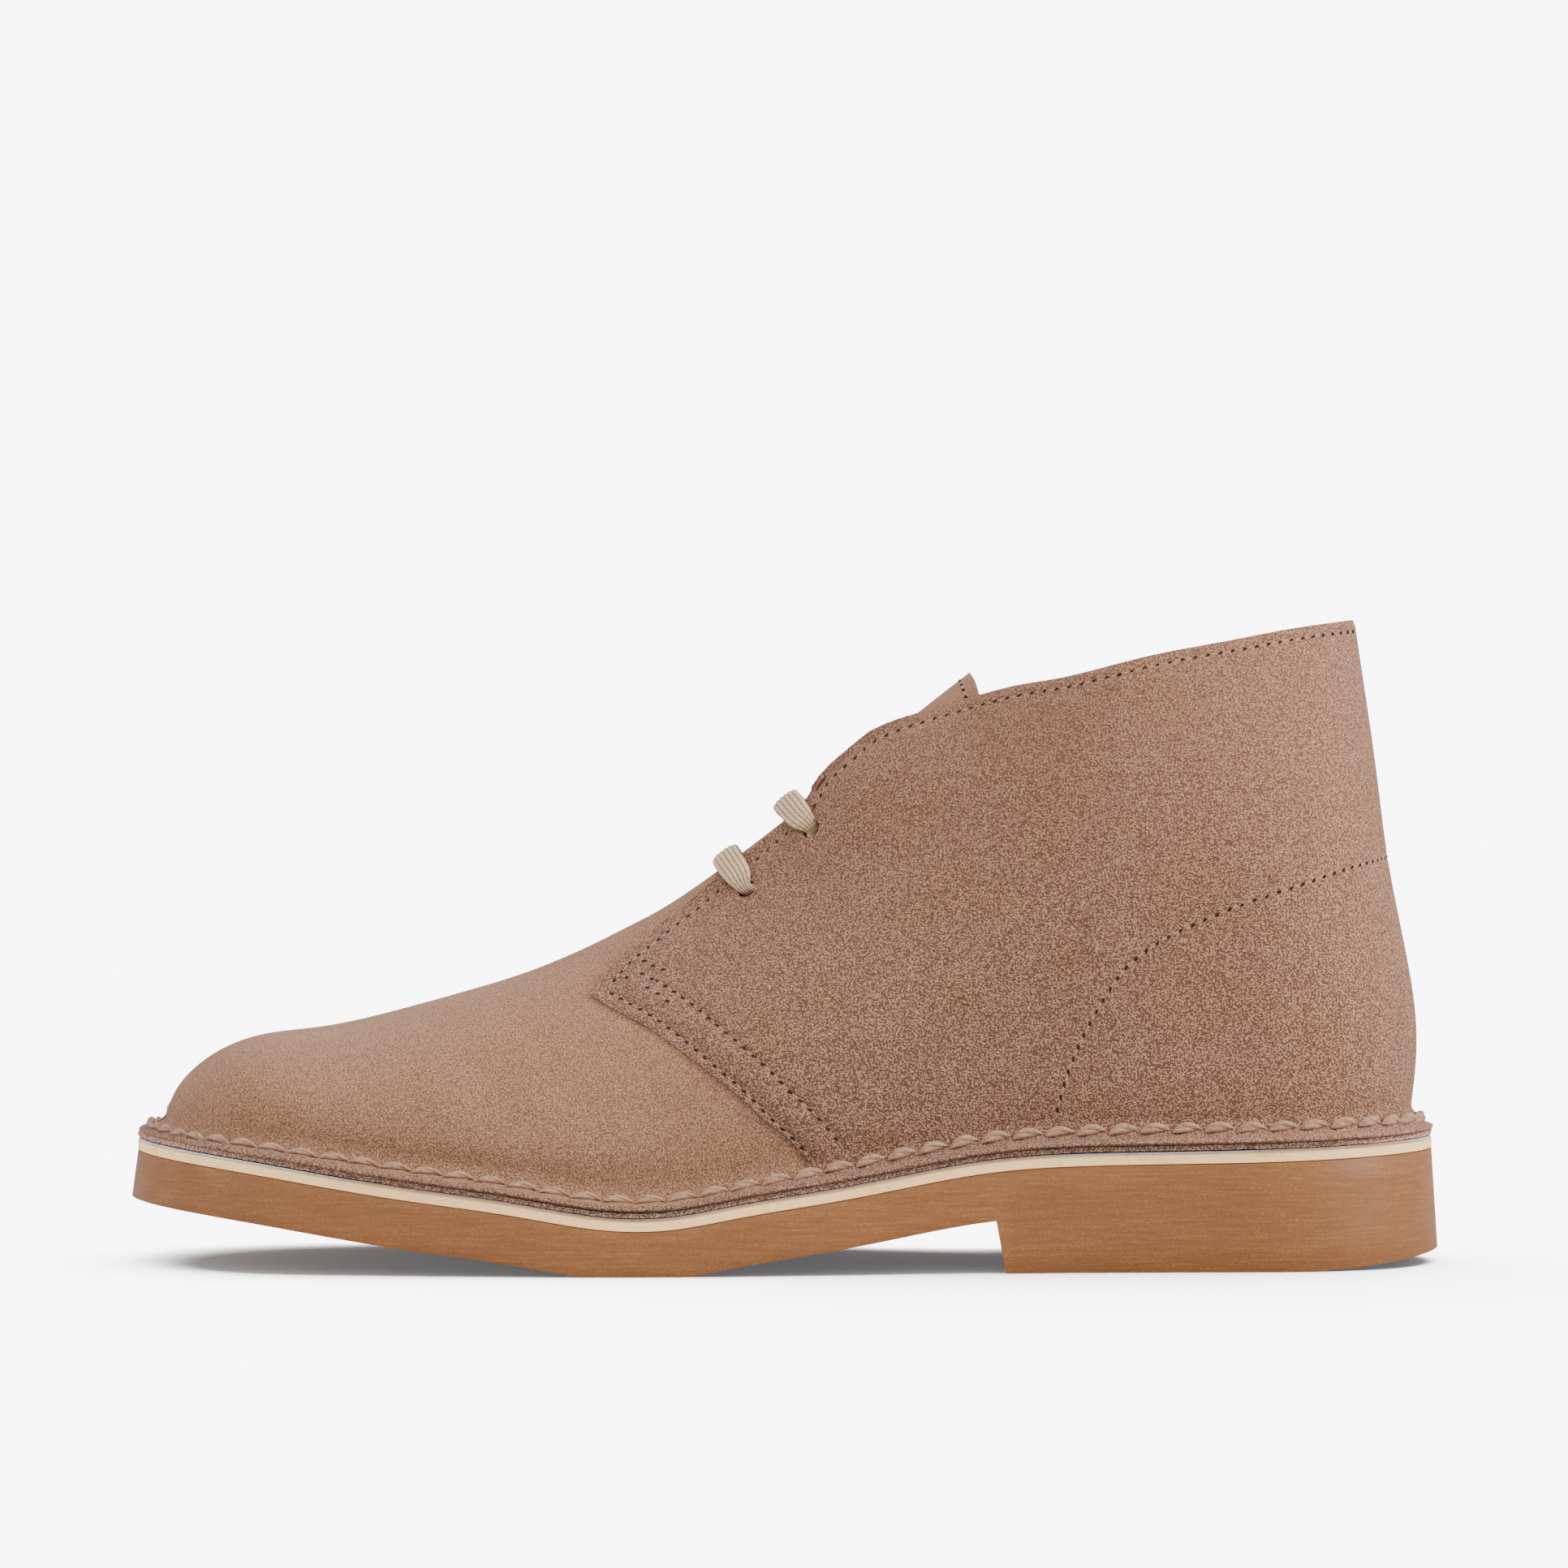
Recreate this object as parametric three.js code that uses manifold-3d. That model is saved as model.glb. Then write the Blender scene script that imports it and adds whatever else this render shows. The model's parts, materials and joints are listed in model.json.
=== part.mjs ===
// A suede chukka boot for the left foot, in millimetres: toe towards -X, outer side towards -Y, +Z up.
// The leather is turned out at its foot and stitched down on a gum rubber sole with a low heel.
import * as THREE from "three";
import { mergeVertices } from "three/addons/utils/BufferGeometryUtils.js";
import Module from "manifold-3d";

const wasm = await Module();
wasm.setup();

// Main sizes of the last and the upper
const footLength = 289; // toe to heel of the upper, where it turns out
const ballWidth = 94; // across the ball, where the upper turns out
const instepHeight = 136; // floor to the top of the instep line
const backHeight = 149; // floor to the collar at the back seam
const collarWidth = 74; // outside width of the mouth

// Sole stack
const outsoleThickness = 10.7;
const midsoleThickness = 2.0;
const fillerThickness = 0.4;
const weltThickness = 1.1;
const flangeThickness = 1.4;
const insoleThickness = 3.2;
const flangeWidth = 6.5; // how far the sole stands out from the upper
const soleFlare = 1.4; // how much wider the outsole is at its underside
const soleRise = 15.4; // lift of the sole's underside at the toe
const heelBreastAt = 0.656; // share of the sole's length where the heel begins
const heelBreastLean = 1.4;
const heelRoll = 3.8; // lift of the heel's rear edge
const heelRollLength = 42;
const weltWidth = 9;

// Leather
const vampThickness = 1.8;
const quarterThickness = 1.7;
const quarterStep = 1.5; // how far the quarter stands proud of the vamp
const seamOverlap = 12; // how far the vamp runs under the quarter
const cornerFlare = 3.6; // how far the quarter's top front corner springs out
const tongueThickness = 1.7;
const tongueDrop = 0.5; // how far the tongue lies below the vamp's surface at its middle
const laceRoom = 2.1; // more room under the facings, where the lace runs
const eyeletRadius = 2.3;
const seatGap = 0.3; // clearance between pieces that meet
const insoleGap = 1.0; // clearance of the insole's edge inside the walls

// Lace
const laceWidth = 5.2;
const laceThickness = 1.8;
const laceRests = [0, 0.3, 0.58]; // shares of the way to the middle where a bar lies on the facing

// Fineness of the meshes
const toeStations = 10;
const vampStations = 11;
const shaftStations = 23;
const arcSteps = 11;
const outlineSteps = 38;
const laceSteps = 16;

const toeX = -footLength / 2;
const heelX = footLength / 2;
const outer = -1;
const inner = 1;

// Sections. Places along the boot are shares of footLength from the toe, heights are shares of the
// size named beside the table, and widths are shares of ballWidth.

// The underside of the sole plate, as shares of soleRise.
const soleLine = [
  { at: -0.028, rise: 0.985 },
  { at: 0.08, rise: 0.75 },
  { at: 0.19, rise: 0.42 },
  { at: 0.29, rise: 0.16 },
  { at: 0.355, rise: -0.03 },
  { at: 0.41, rise: -0.03 },
  { at: 0.46, rise: 0.13 },
  { at: 0.55, rise: 0.405 },
  { at: 0.66, rise: 0.765 },
  { at: 0.73, rise: 0.85 },
  { at: 0.85, rise: 0.89 },
  { at: 1.028, rise: 1.02 },
];

// The middle line of the vamp and tongue seen from the side, as shares of instepHeight.
const instepLine = [
  { at: 0.0, height: 0.13 },
  { at: 0.0, height: 0.245 },
  { at: 0.0108, height: 0.302 },
  { at: 0.0397, height: 0.355 },
  { at: 0.079, height: 0.386 },
  { at: 0.1317, height: 0.401 },
  { at: 0.22, height: 0.447 },
  { at: 0.299, height: 0.499 },
  { at: 0.378, height: 0.578 },
  { at: 0.43, height: 0.649 },
  { at: 0.5, height: 0.761 },
  { at: 0.64, height: 0.999 },
  { at: 0.76, height: 1.18 },
];

// The back seam, heights as shares of backHeight.
const backLine = [
  { height: 0.1, at: 0.999 },
  { height: 0.22, at: 0.9995 },
  { height: 0.33, at: 1.005 },
  { height: 0.46, at: 0.998 },
  { height: 0.61, at: 0.983 },
  { height: 0.77, at: 0.972 },
  { height: 1.0, at: 0.955 },
  { height: 1.08, at: 0.95 },
];

// The outline where the upper turns out, before the toe and heel are rounded.
const planLine = [
  { at: 0.0, outside: 0.4, inside: 0.5 },
  { at: 0.1, outside: 0.43, inside: 0.497 },
  { at: 0.22, outside: 0.475, inside: 0.5 },
  { at: 0.345, outside: 0.5, inside: 0.49 },
  { at: 0.45, outside: 0.485, inside: 0.435 },
  { at: 0.55, outside: 0.44, inside: 0.365 },
  { at: 0.66, outside: 0.382, inside: 0.33 },
  { at: 0.8, outside: 0.345, inside: 0.335 },
  { at: 1.0, outside: 0.34, inside: 0.34 },
];

// How the crown of the instep is rounded: depth as a share of instepHeight, and its fullness.
const crownLine = [
  { at: 0.0, depth: 0.09, full: 2.0, swell: 0.0 },
  { at: 0.06, depth: 0.12, full: 2.0, swell: 0.02 },
  { at: 0.14, depth: 0.17, full: 1.9, swell: 0.035 },
  { at: 0.25, depth: 0.25, full: 1.7, swell: 0.035 },
  { at: 0.36, depth: 0.36, full: 1.4, swell: 0.025 },
  { at: 0.5, depth: 0.46, full: 1.35, swell: 0.03 },
  { at: 0.7, depth: 0.5, full: 1.5, swell: 0.035 },
  { at: 1.0, depth: 0.5, full: 1.6, swell: 0.04 },
];

// How far back the front and how far forward the heel are rounded, as shares of footLength.
const roundLine = [
  { height: 0.1, front: 0.13, back: 0.13 },
  { height: 0.3, front: 0.135, back: 0.13 },
  { height: 0.5, front: 0.22, back: 0.13 },
  { height: 0.75, front: 0.22, back: 0.15 },
  { height: 1.0, front: 0.17, back: 0.16 },
  { height: 1.1, front: 0.16, back: 0.16 },
];

// The collar and the rounded corner of the quarter seen from the side, heights in backHeight.
const collarLine = [
  { at: 0.497, height: 0.69 },
  { at: 0.519, height: 0.733 },
  { at: 0.535, height: 0.772 },
  { at: 0.561, height: 0.816 },
  { at: 0.587, height: 0.842 },
  { at: 0.615, height: 0.858 },
  { at: 0.663, height: 0.883 },
  { at: 0.739, height: 0.913 },
  { at: 0.84, height: 0.956 },
  { at: 0.96, height: 1.0 },
];

// The front edge of the quarter, from its corner down to the sole, heights in instepHeight.
const seamLine = [
  { at: 0.343, height: 0.461 },
  { at: 0.38, height: 0.413 },
  { at: 0.413, height: 0.36 },
  { at: 0.438, height: 0.324 },
  { at: 0.463, height: 0.276 },
  { at: 0.498, height: 0.2 },
  { at: 0.54, height: 0.1 },
];

// Half the gap between the facings, as shares of ballWidth.
const throatLine = [
  { at: 0.3, half: 0.29 },
  { at: 0.343, half: 0.25 },
  { at: 0.38, half: 0.195 },
  { at: 0.43, half: 0.15 },
  { at: 0.5, half: 0.122 },
  { at: 0.55, half: 0.122 },
  { at: 0.62, half: 0.15 },
];

// Eyelets, with heights in instepHeight, and the place where each lace bar crosses the middle.
const laceBars = [
  { name: "lower", eyeletAt: 0.4693, eyeletHeight: 0.625, crossAt: 0.4526 },
  { name: "upper", eyeletAt: 0.5223, eyeletHeight: 0.7215, crossAt: 0.504 },
];

const alongBoot = (share) => toeX + share * footLength;

// A natural cubic spline through the rows of a table.
function curveThrough(rows, from, to) {
  const x = rows.map(from);
  const y = rows.map(to);
  const n = x.length;
  const bend = new Array(n).fill(0);
  const weight = new Array(n).fill(0);
  for (let i = 1; i < n - 1; i++) {
    const share = (x[i] - x[i - 1]) / (x[i + 1] - x[i - 1]);
    const pivot = share * bend[i - 1] + 2;
    const rightSlope = (y[i + 1] - y[i]) / (x[i + 1] - x[i]);
    const leftSlope = (y[i] - y[i - 1]) / (x[i] - x[i - 1]);
    bend[i] = (share - 1) / pivot;
    weight[i] = ((6 * (rightSlope - leftSlope)) / (x[i + 1] - x[i - 1]) - share * weight[i - 1]) / pivot;
  }
  for (let i = n - 2; i >= 0; i--) bend[i] = i === 0 ? 0 : bend[i] * bend[i + 1] + weight[i];
  bend[n - 1] = 0;
  return (at) => {
    const v = Math.min(Math.max(at, x[0]), x[n - 1]);
    let k = 0;
    while (k < n - 2 && v > x[k + 1]) k++;
    const h = x[k + 1] - x[k];
    const a = (x[k + 1] - v) / h;
    const b = 1 - a;
    return a * y[k] + b * y[k + 1] + (((a ** 3 - a) * bend[k] + (b ** 3 - b) * bend[k + 1]) * h * h) / 6;
  };
}

const smoothStep = (from, to, v) => THREE.MathUtils.smoothstep(v, from, to);
const lerp = THREE.MathUtils.lerp;

// A lookup along a list of points that rise in both coordinates.
function lookUp(points, from, to, v) {
  let k = 0;
  while (k < points.length - 2 && v > points[k + 1][from]) k++;
  const run = points[k + 1][from] - points[k][from];
  const share = run > 0 ? Math.min(Math.max((v - points[k][from]) / run, 0), 1) : 1;
  return lerp(points[k][to], points[k + 1][to], share);
}

const soleUnderside = curveThrough(soleLine, (r) => alongBoot(r.at), (r) => r.rise * soleRise);
const backX = curveThrough(backLine, (r) => r.height * backHeight, (r) => alongBoot(r.at) - quarterStep);
const planOutside = curveThrough(planLine, (r) => alongBoot(r.at), (r) => r.outside * ballWidth);
const planInside = curveThrough(planLine, (r) => alongBoot(r.at), (r) => r.inside * ballWidth);
const crownDepth = curveThrough(crownLine, (r) => alongBoot(r.at), (r) => r.depth * instepHeight);
const crownFullness = curveThrough(crownLine, (r) => alongBoot(r.at), (r) => r.full);
const crownSwell = curveThrough(crownLine, (r) => alongBoot(r.at), (r) => r.swell * ballWidth);
const frontRound = curveThrough(roundLine, (r) => r.height * instepHeight, (r) => r.front * footLength);
const backRound = curveThrough(roundLine, (r) => r.height * instepHeight, (r) => r.back * footLength);
const collarHeight = curveThrough(collarLine, (r) => alongBoot(r.at), (r) => r.height * backHeight);
const seamX = curveThrough([...seamLine].reverse(), (r) => r.height * instepHeight, (r) => alongBoot(r.at));
const throatHalf = curveThrough(throatLine, (r) => alongBoot(r.at), (r) => r.half * ballWidth);

// Levels of the sole stack above the sole's underside line
const soleTop = (x) => soleUnderside(x) + outsoleThickness;
const midsoleTop = (x) => soleTop(x) + seatGap + midsoleThickness;
const fillerTop = (x) => midsoleTop(x) + seatGap + fillerThickness;
const weltTop = (x) => fillerTop(x) + seatGap + weltThickness;
const flangeBase = (x) => weltTop(x) + seatGap;

// The instep line as closely spaced points: a smooth curve whose first stretch is the upright toe.
const instepPoints = new THREE.CatmullRomCurve3(
  instepLine.map((r) => new THREE.Vector3(alongBoot(r.at), 0, r.height * instepHeight)),
  false,
  "centripetal",
).getPoints(200);
const instepZ = (x) => lookUp(instepPoints, "x", "z", x);
const instepX = (z) => lookUp(instepPoints, "z", "x", z);

// Rounds off the end of a width: 0 at the edge, 1 from the given depth on.
const roundOff = (share, fullness) => Math.sqrt(1 - (1 - Math.min(Math.max(share, 0), 1)) ** fullness);

const shaftBlendLow = 0.3;
const shaftBlendHigh = 0.78;
const swellHeight = 15;
const heelFullness = 2.3;
const ridgeLean = 2.5; // how far the instep line leans to the inside of the foot

// Half the width of the lasted upper at a place seen from the side.
function halfWidth(x, z) {
  const above = (instepZ(x) - z) / crownDepth(x);
  const behind = (x - instepX(z)) / frontRound(z);
  if (above <= 0 || behind <= 0) return 0;
  const edge = (above ** -3 + behind ** -3) ** (-1 / 3);
  const lift = Math.min(Math.max((z - flangeBase(x)) / swellHeight, 0), 1);
  const swell = crownSwell(x) * (1 - (1 - lift) ** 2);
  const foot = (planOutside(x) + planInside(x)) / 2 + swell;
  const shaft = smoothStep(shaftBlendLow * instepHeight, shaftBlendHigh * instepHeight, z);
  const body = lerp(foot, collarWidth / 2 - quarterStep, shaft);
  return body * roundOff(edge, crownFullness(x)) * roundOff((backX(z) - x) / backRound(z), heelFullness);
}

// The middle of the upper at a place seen from the side.
function middle(x, z) {
  const foot = (planInside(x) - planOutside(x)) / 2;
  const rise = Math.min(Math.max((z - flangeBase(x)) / (instepZ(x) - flangeBase(x) + 1), 0), 1);
  const top = ridgeLean * (1 - smoothStep(0.4, 0.75, (x - toeX) / footLength));
  return lerp(foot, Math.abs(x - toeX) < 1 ? foot : top, smoothStep(0, 1, rise) * smoothStep(toeX, toeX + 60, x));
}

const lastDepth = 9; // how far the lasted form is carried down below the flange, to be cut off
const mouthRise = 8; // and up above the collar
const baseZ = (x) => flangeBase(x) - lastDepth;

// The section rays, seen from the side: upright over the forefoot, then fanned round the ankle.
const forefootShare = (toeStations + vampStations) / (toeStations + vampStations + shaftStations);
const fanX = alongBoot(0.47);
const toeRoundLength = 38;
const heelCorner = { x: backX(baseZ(heelX)), z: baseZ(heelX) };
const mouthBack = backHeight + mouthRise;
const cornerShare = 0.5;

function ray(s) {
  if (s <= forefootShare) {
    const i = (s / forefootShare) * (toeStations + vampStations);
    const toeEnd = toeX + toeRoundLength;
    const x =
      i < toeStations
        ? toeX + toeRoundLength * (1 - Math.cos(((i / toeStations) * Math.PI) / 2))
        : lerp(toeEnd, fanX, (i - toeStations) / vampStations);
    return { top: { x, z: instepZ(x) }, base: { x, z: baseZ(x) } };
  }
  const u = (s - forefootShare) / (1 - forefootShare);
  const lastTop = instepPoints[instepPoints.length - 1];
  const topX = lerp(fanX, lastTop.x, u ** 1.5);
  const top = { x: topX, z: instepZ(topX) };
  if (u < cornerShare) {
    const x = lerp(fanX, heelCorner.x, Math.sin(((u / cornerShare) * Math.PI) / 2));
    return { top, base: { x, z: baseZ(x) } };
  }
  const z = lerp(heelCorner.z, mouthBack, (u - cornerShare) / (1 - cornerShare));
  return { top, base: { x: backX(z), z } };
}

// A point of the lasted surface, at a ray and an angle along it: 0 at the instep, 1 at the base.
function lastPoint(s, angle, side) {
  const { top, base } = ray(Math.min(Math.max(s, 0), 1));
  const t = (1 - Math.cos(angle * Math.PI)) / 2;
  const x = lerp(top.x, base.x, t);
  const z = lerp(top.z, base.z, t);
  return new THREE.Vector3(x, middle(x, z) + side * halfWidth(x, z), z);
}

// The same point moved along the surface's own outward direction.
function skinPoint(s, angle, side, offset) {
  const p = lastPoint(s, angle, side);
  const ds = 0.004;
  const da = 0.01;
  const near = Math.min(Math.max(angle, 0.02), 0.98);
  const at = Math.min(Math.max(s, 0.006), 0.99);
  const along = lastPoint(at + ds, near, side).sub(lastPoint(at - ds, near, side));
  const round = lastPoint(at, near + da, side).sub(lastPoint(at, near - da, side));
  const normal = along.cross(round).multiplyScalar(side).normalize();
  if (angle <= 0 || angle >= 1) normal.y = 0;
  if (s <= 0) normal.set(-1, 0, normal.z);
  return p.addScaledVector(normal.normalize(), offset(p));
}

function manifoldOf(geometry) {
  const bare = new THREE.BufferGeometry();
  bare.setAttribute("position", (geometry.index ? geometry.toNonIndexed() : geometry).getAttribute("position"));
  const merged = mergeVertices(bare, 1e-4);
  return new wasm.Manifold(
    new wasm.Mesh({
      numProp: 3,
      vertProperties: merged.attributes.position.array,
      triVerts: new Uint32Array(merged.index.array),
    }),
  );
}

// A closed solid from rings of points, each ring with the same count.
function solidOfRings(rings, closedLoop) {
  const verts = rings.flat().flatMap((p) => [p.x, p.y, p.z]);
  const n = rings[0].length;
  const faces = [];
  const last = closedLoop ? rings.length : rings.length - 1;
  for (let i = 0; i < last; i++)
    for (let j = 0; j < n; j++) {
      const a = i * n + j;
      const b = i * n + ((j + 1) % n);
      const c = ((i + 1) % rings.length) * n + j;
      const d = ((i + 1) % rings.length) * n + ((j + 1) % n);
      faces.push(a, c, b, b, c, d);
    }
  if (!closedLoop) {
    const end = (rings.length - 1) * n;
    for (let j = 1; j < n - 1; j++) faces.push(0, j, j + 1, end, end + j + 1, end + j);
  }
  const geometry = new THREE.BufferGeometry();
  geometry.setAttribute("position", new THREE.Float32BufferAttribute(verts, 3));
  geometry.setIndex(faces);
  const made = manifoldOf(geometry);
  if (made.volume() >= 0) return made;
  for (let i = 0; i < faces.length; i += 3) [faces[i + 1], faces[i + 2]] = [faces[i + 2], faces[i + 1]];
  geometry.setIndex(faces);
  return manifoldOf(geometry);
}

// The lasted form as a solid, moved out or in by a distance that may change over the surface.
function lastedSolid(offset) {
  const stations = toeStations + vampStations + shaftStations;
  const rings = [];
  for (let i = 0; i <= stations; i++) {
    const s = i / stations;
    const ring = [];
    for (let j = -arcSteps; j <= arcSteps; j++) {
      const side = j < 0 ? outer : inner;
      ring.push(skinPoint(s, Math.abs(j) / arcSteps, side, offset));
    }
    rings.push(ring);
  }
  return solidOfRings(rings, false);
}

// A prism across the boot from an outline seen from the side.
function acrossSolid(points, depth = 200) {
  const shape = new THREE.Shape(points.map(([x, z]) => new THREE.Vector2(x, z)));
  const geometry = new THREE.ExtrudeGeometry(shape, { depth, bevelEnabled: false });
  geometry.rotateX(Math.PI / 2).translate(0, depth / 2, 0);
  return manifoldOf(geometry);
}

// A prism standing up from an outline seen from above.
function uprightSolid(points, low, high) {
  const shape = new THREE.Shape(points.map(([x, y]) => new THREE.Vector2(x, y)));
  const geometry = new THREE.ExtrudeGeometry(shape, { depth: high - low, bevelEnabled: false });
  geometry.translate(0, 0, low);
  return manifoldOf(geometry);
}

// The outline where the upper turns out, moved outwards, as a loop from the toe round the outer side.
function footOutline(offset) {
  const loop = [];
  const heelEnd = backX(flangeBase(heelX));
  for (let side = outer; side <= inner; side += 2)
    for (let i = 0; i < outlineSteps; i++) {
      const share = (1 - Math.cos((i / outlineSteps) * Math.PI)) / 2;
      const x = side === outer ? lerp(toeX, heelEnd, share) : lerp(heelEnd, toeX, share);
      const z = flangeBase(x);
      const tip = i === 0;
      loop.push(new THREE.Vector2(x, middle(x, z) + (tip ? 0 : side * halfWidth(x, z))));
    }
  return loop.map((p, i) => {
    const before = loop[(i + loop.length - 1) % loop.length];
    const after = loop[(i + 1) % loop.length];
    const run = after.clone().sub(before).normalize();
    return new THREE.Vector2(p.x + run.y * offset(p.x), p.y - run.x * offset(p.x));
  });
}

// A plate that follows the sole's line between two heights, its outline seen from above.
function plateSolid(topOutline, topZ, baseOutline, baseHeight) {
  const half = topOutline.length / 2;
  const rings = [];
  for (let i = 0; i <= half; i++) {
    const far = (topOutline.length - i) % topOutline.length;
    const at = (p, z) => new THREE.Vector3(p.x, p.y, z(p.x));
    rings.push([
      at(topOutline[i], topZ),
      at(topOutline[far], topZ),
      at(baseOutline[far], baseHeight),
      at(baseOutline[i], baseHeight),
    ]);
  }
  return solidOfRings(rings, false);
}

const soleOutline = footOutline(() => flangeWidth);
const soleFoot = footOutline(() => flangeWidth + soleFlare);

// Outsole with its heel, moulded in one
function makeOutsole() {
  const plate = plateSolid(soleOutline, soleTop, soleFoot, (x) => Math.max(soleUnderside(x), 0));
  const rear = heelX + flangeWidth + soleFlare;
  const rolled = (x) => heelRoll * Math.max(0, 1 - (rear - x) / heelRollLength) ** 2;
  const block = plateSolid(soleOutline, (x) => soleUnderside(x) + outsoleThickness / 2, soleFoot, rolled);
  const breast = alongBoot(heelBreastAt);
  const behindBreast = acrossSolid([
    [breast + heelBreastLean, -1],
    [breast, soleUnderside(breast) + 1],
    [breast, 60],
    [rear + 10, 60],
    [rear + 10, -1],
  ]);
  return plate.add(block.intersect(behindBreast));
}

function makeMidsole() {
  return plateSolid(soleOutline, midsoleTop, soleOutline, (x) => soleTop(x) + seatGap);
}

function makeFiller() {
  return plateSolid(soleOutline, fillerTop, soleOutline, (x) => midsoleTop(x) + seatGap);
}

// A ring swept round the foot outline, its section given as outward distances and heights.
function ringSolid(section) {
  const loops = section.map(([offset, lift, level]) =>
    footOutline(() => offset).map((p) => new THREE.Vector3(p.x, p.y, level(p.x) + lift)),
  );
  return solidOfRings(
    loops[0].map((_, i) => loops.map((loop) => loop[i])),
    true,
  );
}

function makeWelt() {
  const under = (x) => fillerTop(x) + seatGap;
  return ringSolid([
    [flangeWidth - weltWidth, 0, under],
    [flangeWidth, 0, under],
    [flangeWidth, weltThickness, under],
    [flangeWidth - weltWidth, weltThickness, under],
  ]);
}

// The insole lies inside the walls, further out at the rear, where the wall is the quarter alone.
function makeInsole() {
  const front = -vampThickness - insoleGap;
  const rear = quarterStep - quarterThickness - insoleGap;
  const seamFoot = seamX(flangeBase(0)) + seamOverlap;
  const inset = (x) => lerp(front, rear, smoothStep(seamFoot, seamFoot + 2 * seamOverlap, x));
  const outline = footOutline(inset);
  const inside = footOutline((x) => Math.min(inset(x), flangeWidth - weltWidth - seatGap));
  return plateSolid(outline, (x) => flangeBase(x) + insoleThickness, inside, (x) => flangeBase(x) + seatGap);
}

// The edge of a region seen from the side: the quarter's front edge moved back by a distance.
function seamEdge(back) {
  const points = [];
  for (let z = 0; z <= 62; z += 4) points.push([seamX(z) + back, z]);
  return points;
}

const seamTopZ = seamLine[0].height * instepHeight;
const farX = heelX + 40;
const farZ = backHeight + 40;

// Everything in front of the quarter's front edge, moved back by a distance along the boot.
function aheadOfSeam(back) {
  const edge = seamEdge(back).filter(([, z]) => z < seamTopZ);
  const top = alongBoot(seamLine[0].at) + back;
  return acrossSolid([[toeX - 20, -1], [edge[0][0], -1], ...edge.slice(1), [top, seamTopZ], [top - 12, farZ], [toeX - 20, farZ]]);
}

function flaredOffset(distance) {
  const centre = { x: alongBoot(0.545), z: 0.87 * instepHeight };
  const reach = 32;
  return (p) => {
    const away = Math.hypot(p.x - centre.x, p.z - centre.z) / reach;
    return distance + cornerFlare * Math.max(0, 1 - away * away) ** 2;
  };
}

// What lies above the collar, and the gap between the facings
function mouthCutter() {
  const line = [];
  const from = alongBoot(collarLine[0].at);
  const to = alongBoot(collarLine[collarLine.length - 1].at);
  for (let i = 0; i <= 18; i++) {
    const x = lerp(from, to, i / 18);
    line.push([x, collarHeight(x)]);
  }
  return acrossSolid([[from - 8, farZ], [from - 1.5, line[0][1] + 5], ...line, [farX, collarHeight(to) + 2], [farX, farZ]]);
}

function throatCutter() {
  const low = alongBoot(throatLine[0].at);
  const high = alongBoot(throatLine[throatLine.length - 1].at);
  const outerEdge = [];
  const innerEdge = [];
  for (let i = 0; i <= 12; i++) {
    const x = lerp(low, high, i / 12);
    const m = middle(x, instepZ(x));
    outerEdge.push([x, m - throatHalf(x)]);
    innerEdge.push([x, m + throatHalf(x)]);
  }
  return uprightSolid([...outerEdge, ...innerEdge.reverse()], 40, farZ);
}

// A point and outward direction on the quarter's outside, at a place seen from the side.
function quarterPoint(x, z, side) {
  const half = (px, pz) => middle(px, pz) * side + halfWidth(px, pz);
  const step = 0.05;
  const slopeX = (half(x + step, z) - half(x - step, z)) / (2 * step);
  const slopeZ = (half(x, z + step) - half(x, z - step)) / (2 * step);
  const normal = new THREE.Vector3(-slopeX, side, -slopeZ).normalize();
  const onLast = new THREE.Vector3(x, side * half(x, z), z);
  const offset = flaredOffset(quarterStep)(onLast);
  return { onLast, normal, offset, point: onLast.clone().addScaledVector(normal, offset) };
}

function eyeletCutter(bar, side) {
  const { point, normal } = quarterPoint(alongBoot(bar.eyeletAt), bar.eyeletHeight * instepHeight, side);
  const hole = new THREE.CylinderGeometry(eyeletRadius, eyeletRadius, 10, 12);
  hole.applyQuaternion(new THREE.Quaternion().setFromUnitVectors(new THREE.Vector3(0, 1, 0), normal));
  hole.translate(point.x, point.y, point.z);
  return manifoldOf(hole);
}

// The upper: vamp, raised quarters and the turned-out flange, hollow and open at the throat and collar
function makeUpper() {
  const vampSkin = lastedSolid(() => 0).subtract(lastedSolid(() => -vampThickness));
  const vamp = vampSkin.intersect(aheadOfSeam(seamOverlap));
  const quarterInner = quarterStep - quarterThickness;
  const quarterSkin = lastedSolid(flaredOffset(quarterStep)).subtract(lastedSolid(flaredOffset(quarterInner)));
  const quarters = quarterSkin.subtract(aheadOfSeam(0)).subtract(throatCutter()).subtract(mouthCutter());
  const flange = ringSolid([
    [-vampThickness / 2, 0, flangeBase],
    [flangeWidth, 0, flangeBase],
    [flangeWidth, flangeThickness - 0.4, flangeBase],
    [flangeWidth - 0.5, flangeThickness, flangeBase],
    [flangeWidth / 2, flangeThickness + 0.4, flangeBase],
    [quarterStep, flangeThickness + 1, flangeBase],
    [-vampThickness / 2, flangeThickness + 2.5, flangeBase],
  ]);
  const below = plateSolid(
    footOutline(() => 40),
    (x) => flangeBase(x) + flangeThickness / 2,
    footOutline(() => 40),
    () => -20,
  );
  let upper = vamp.add(quarters).subtract(below).add(flange);
  for (const bar of laceBars)
    for (const side of [outer, inner]) upper = upper.subtract(eyeletCutter(bar, side));
  return upper;
}

// The tongue runs on from the vamp under the facings, up past the collar.
const tongueHalfLow = 0.3;
const tongueHalfHigh = 0.37;

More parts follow.
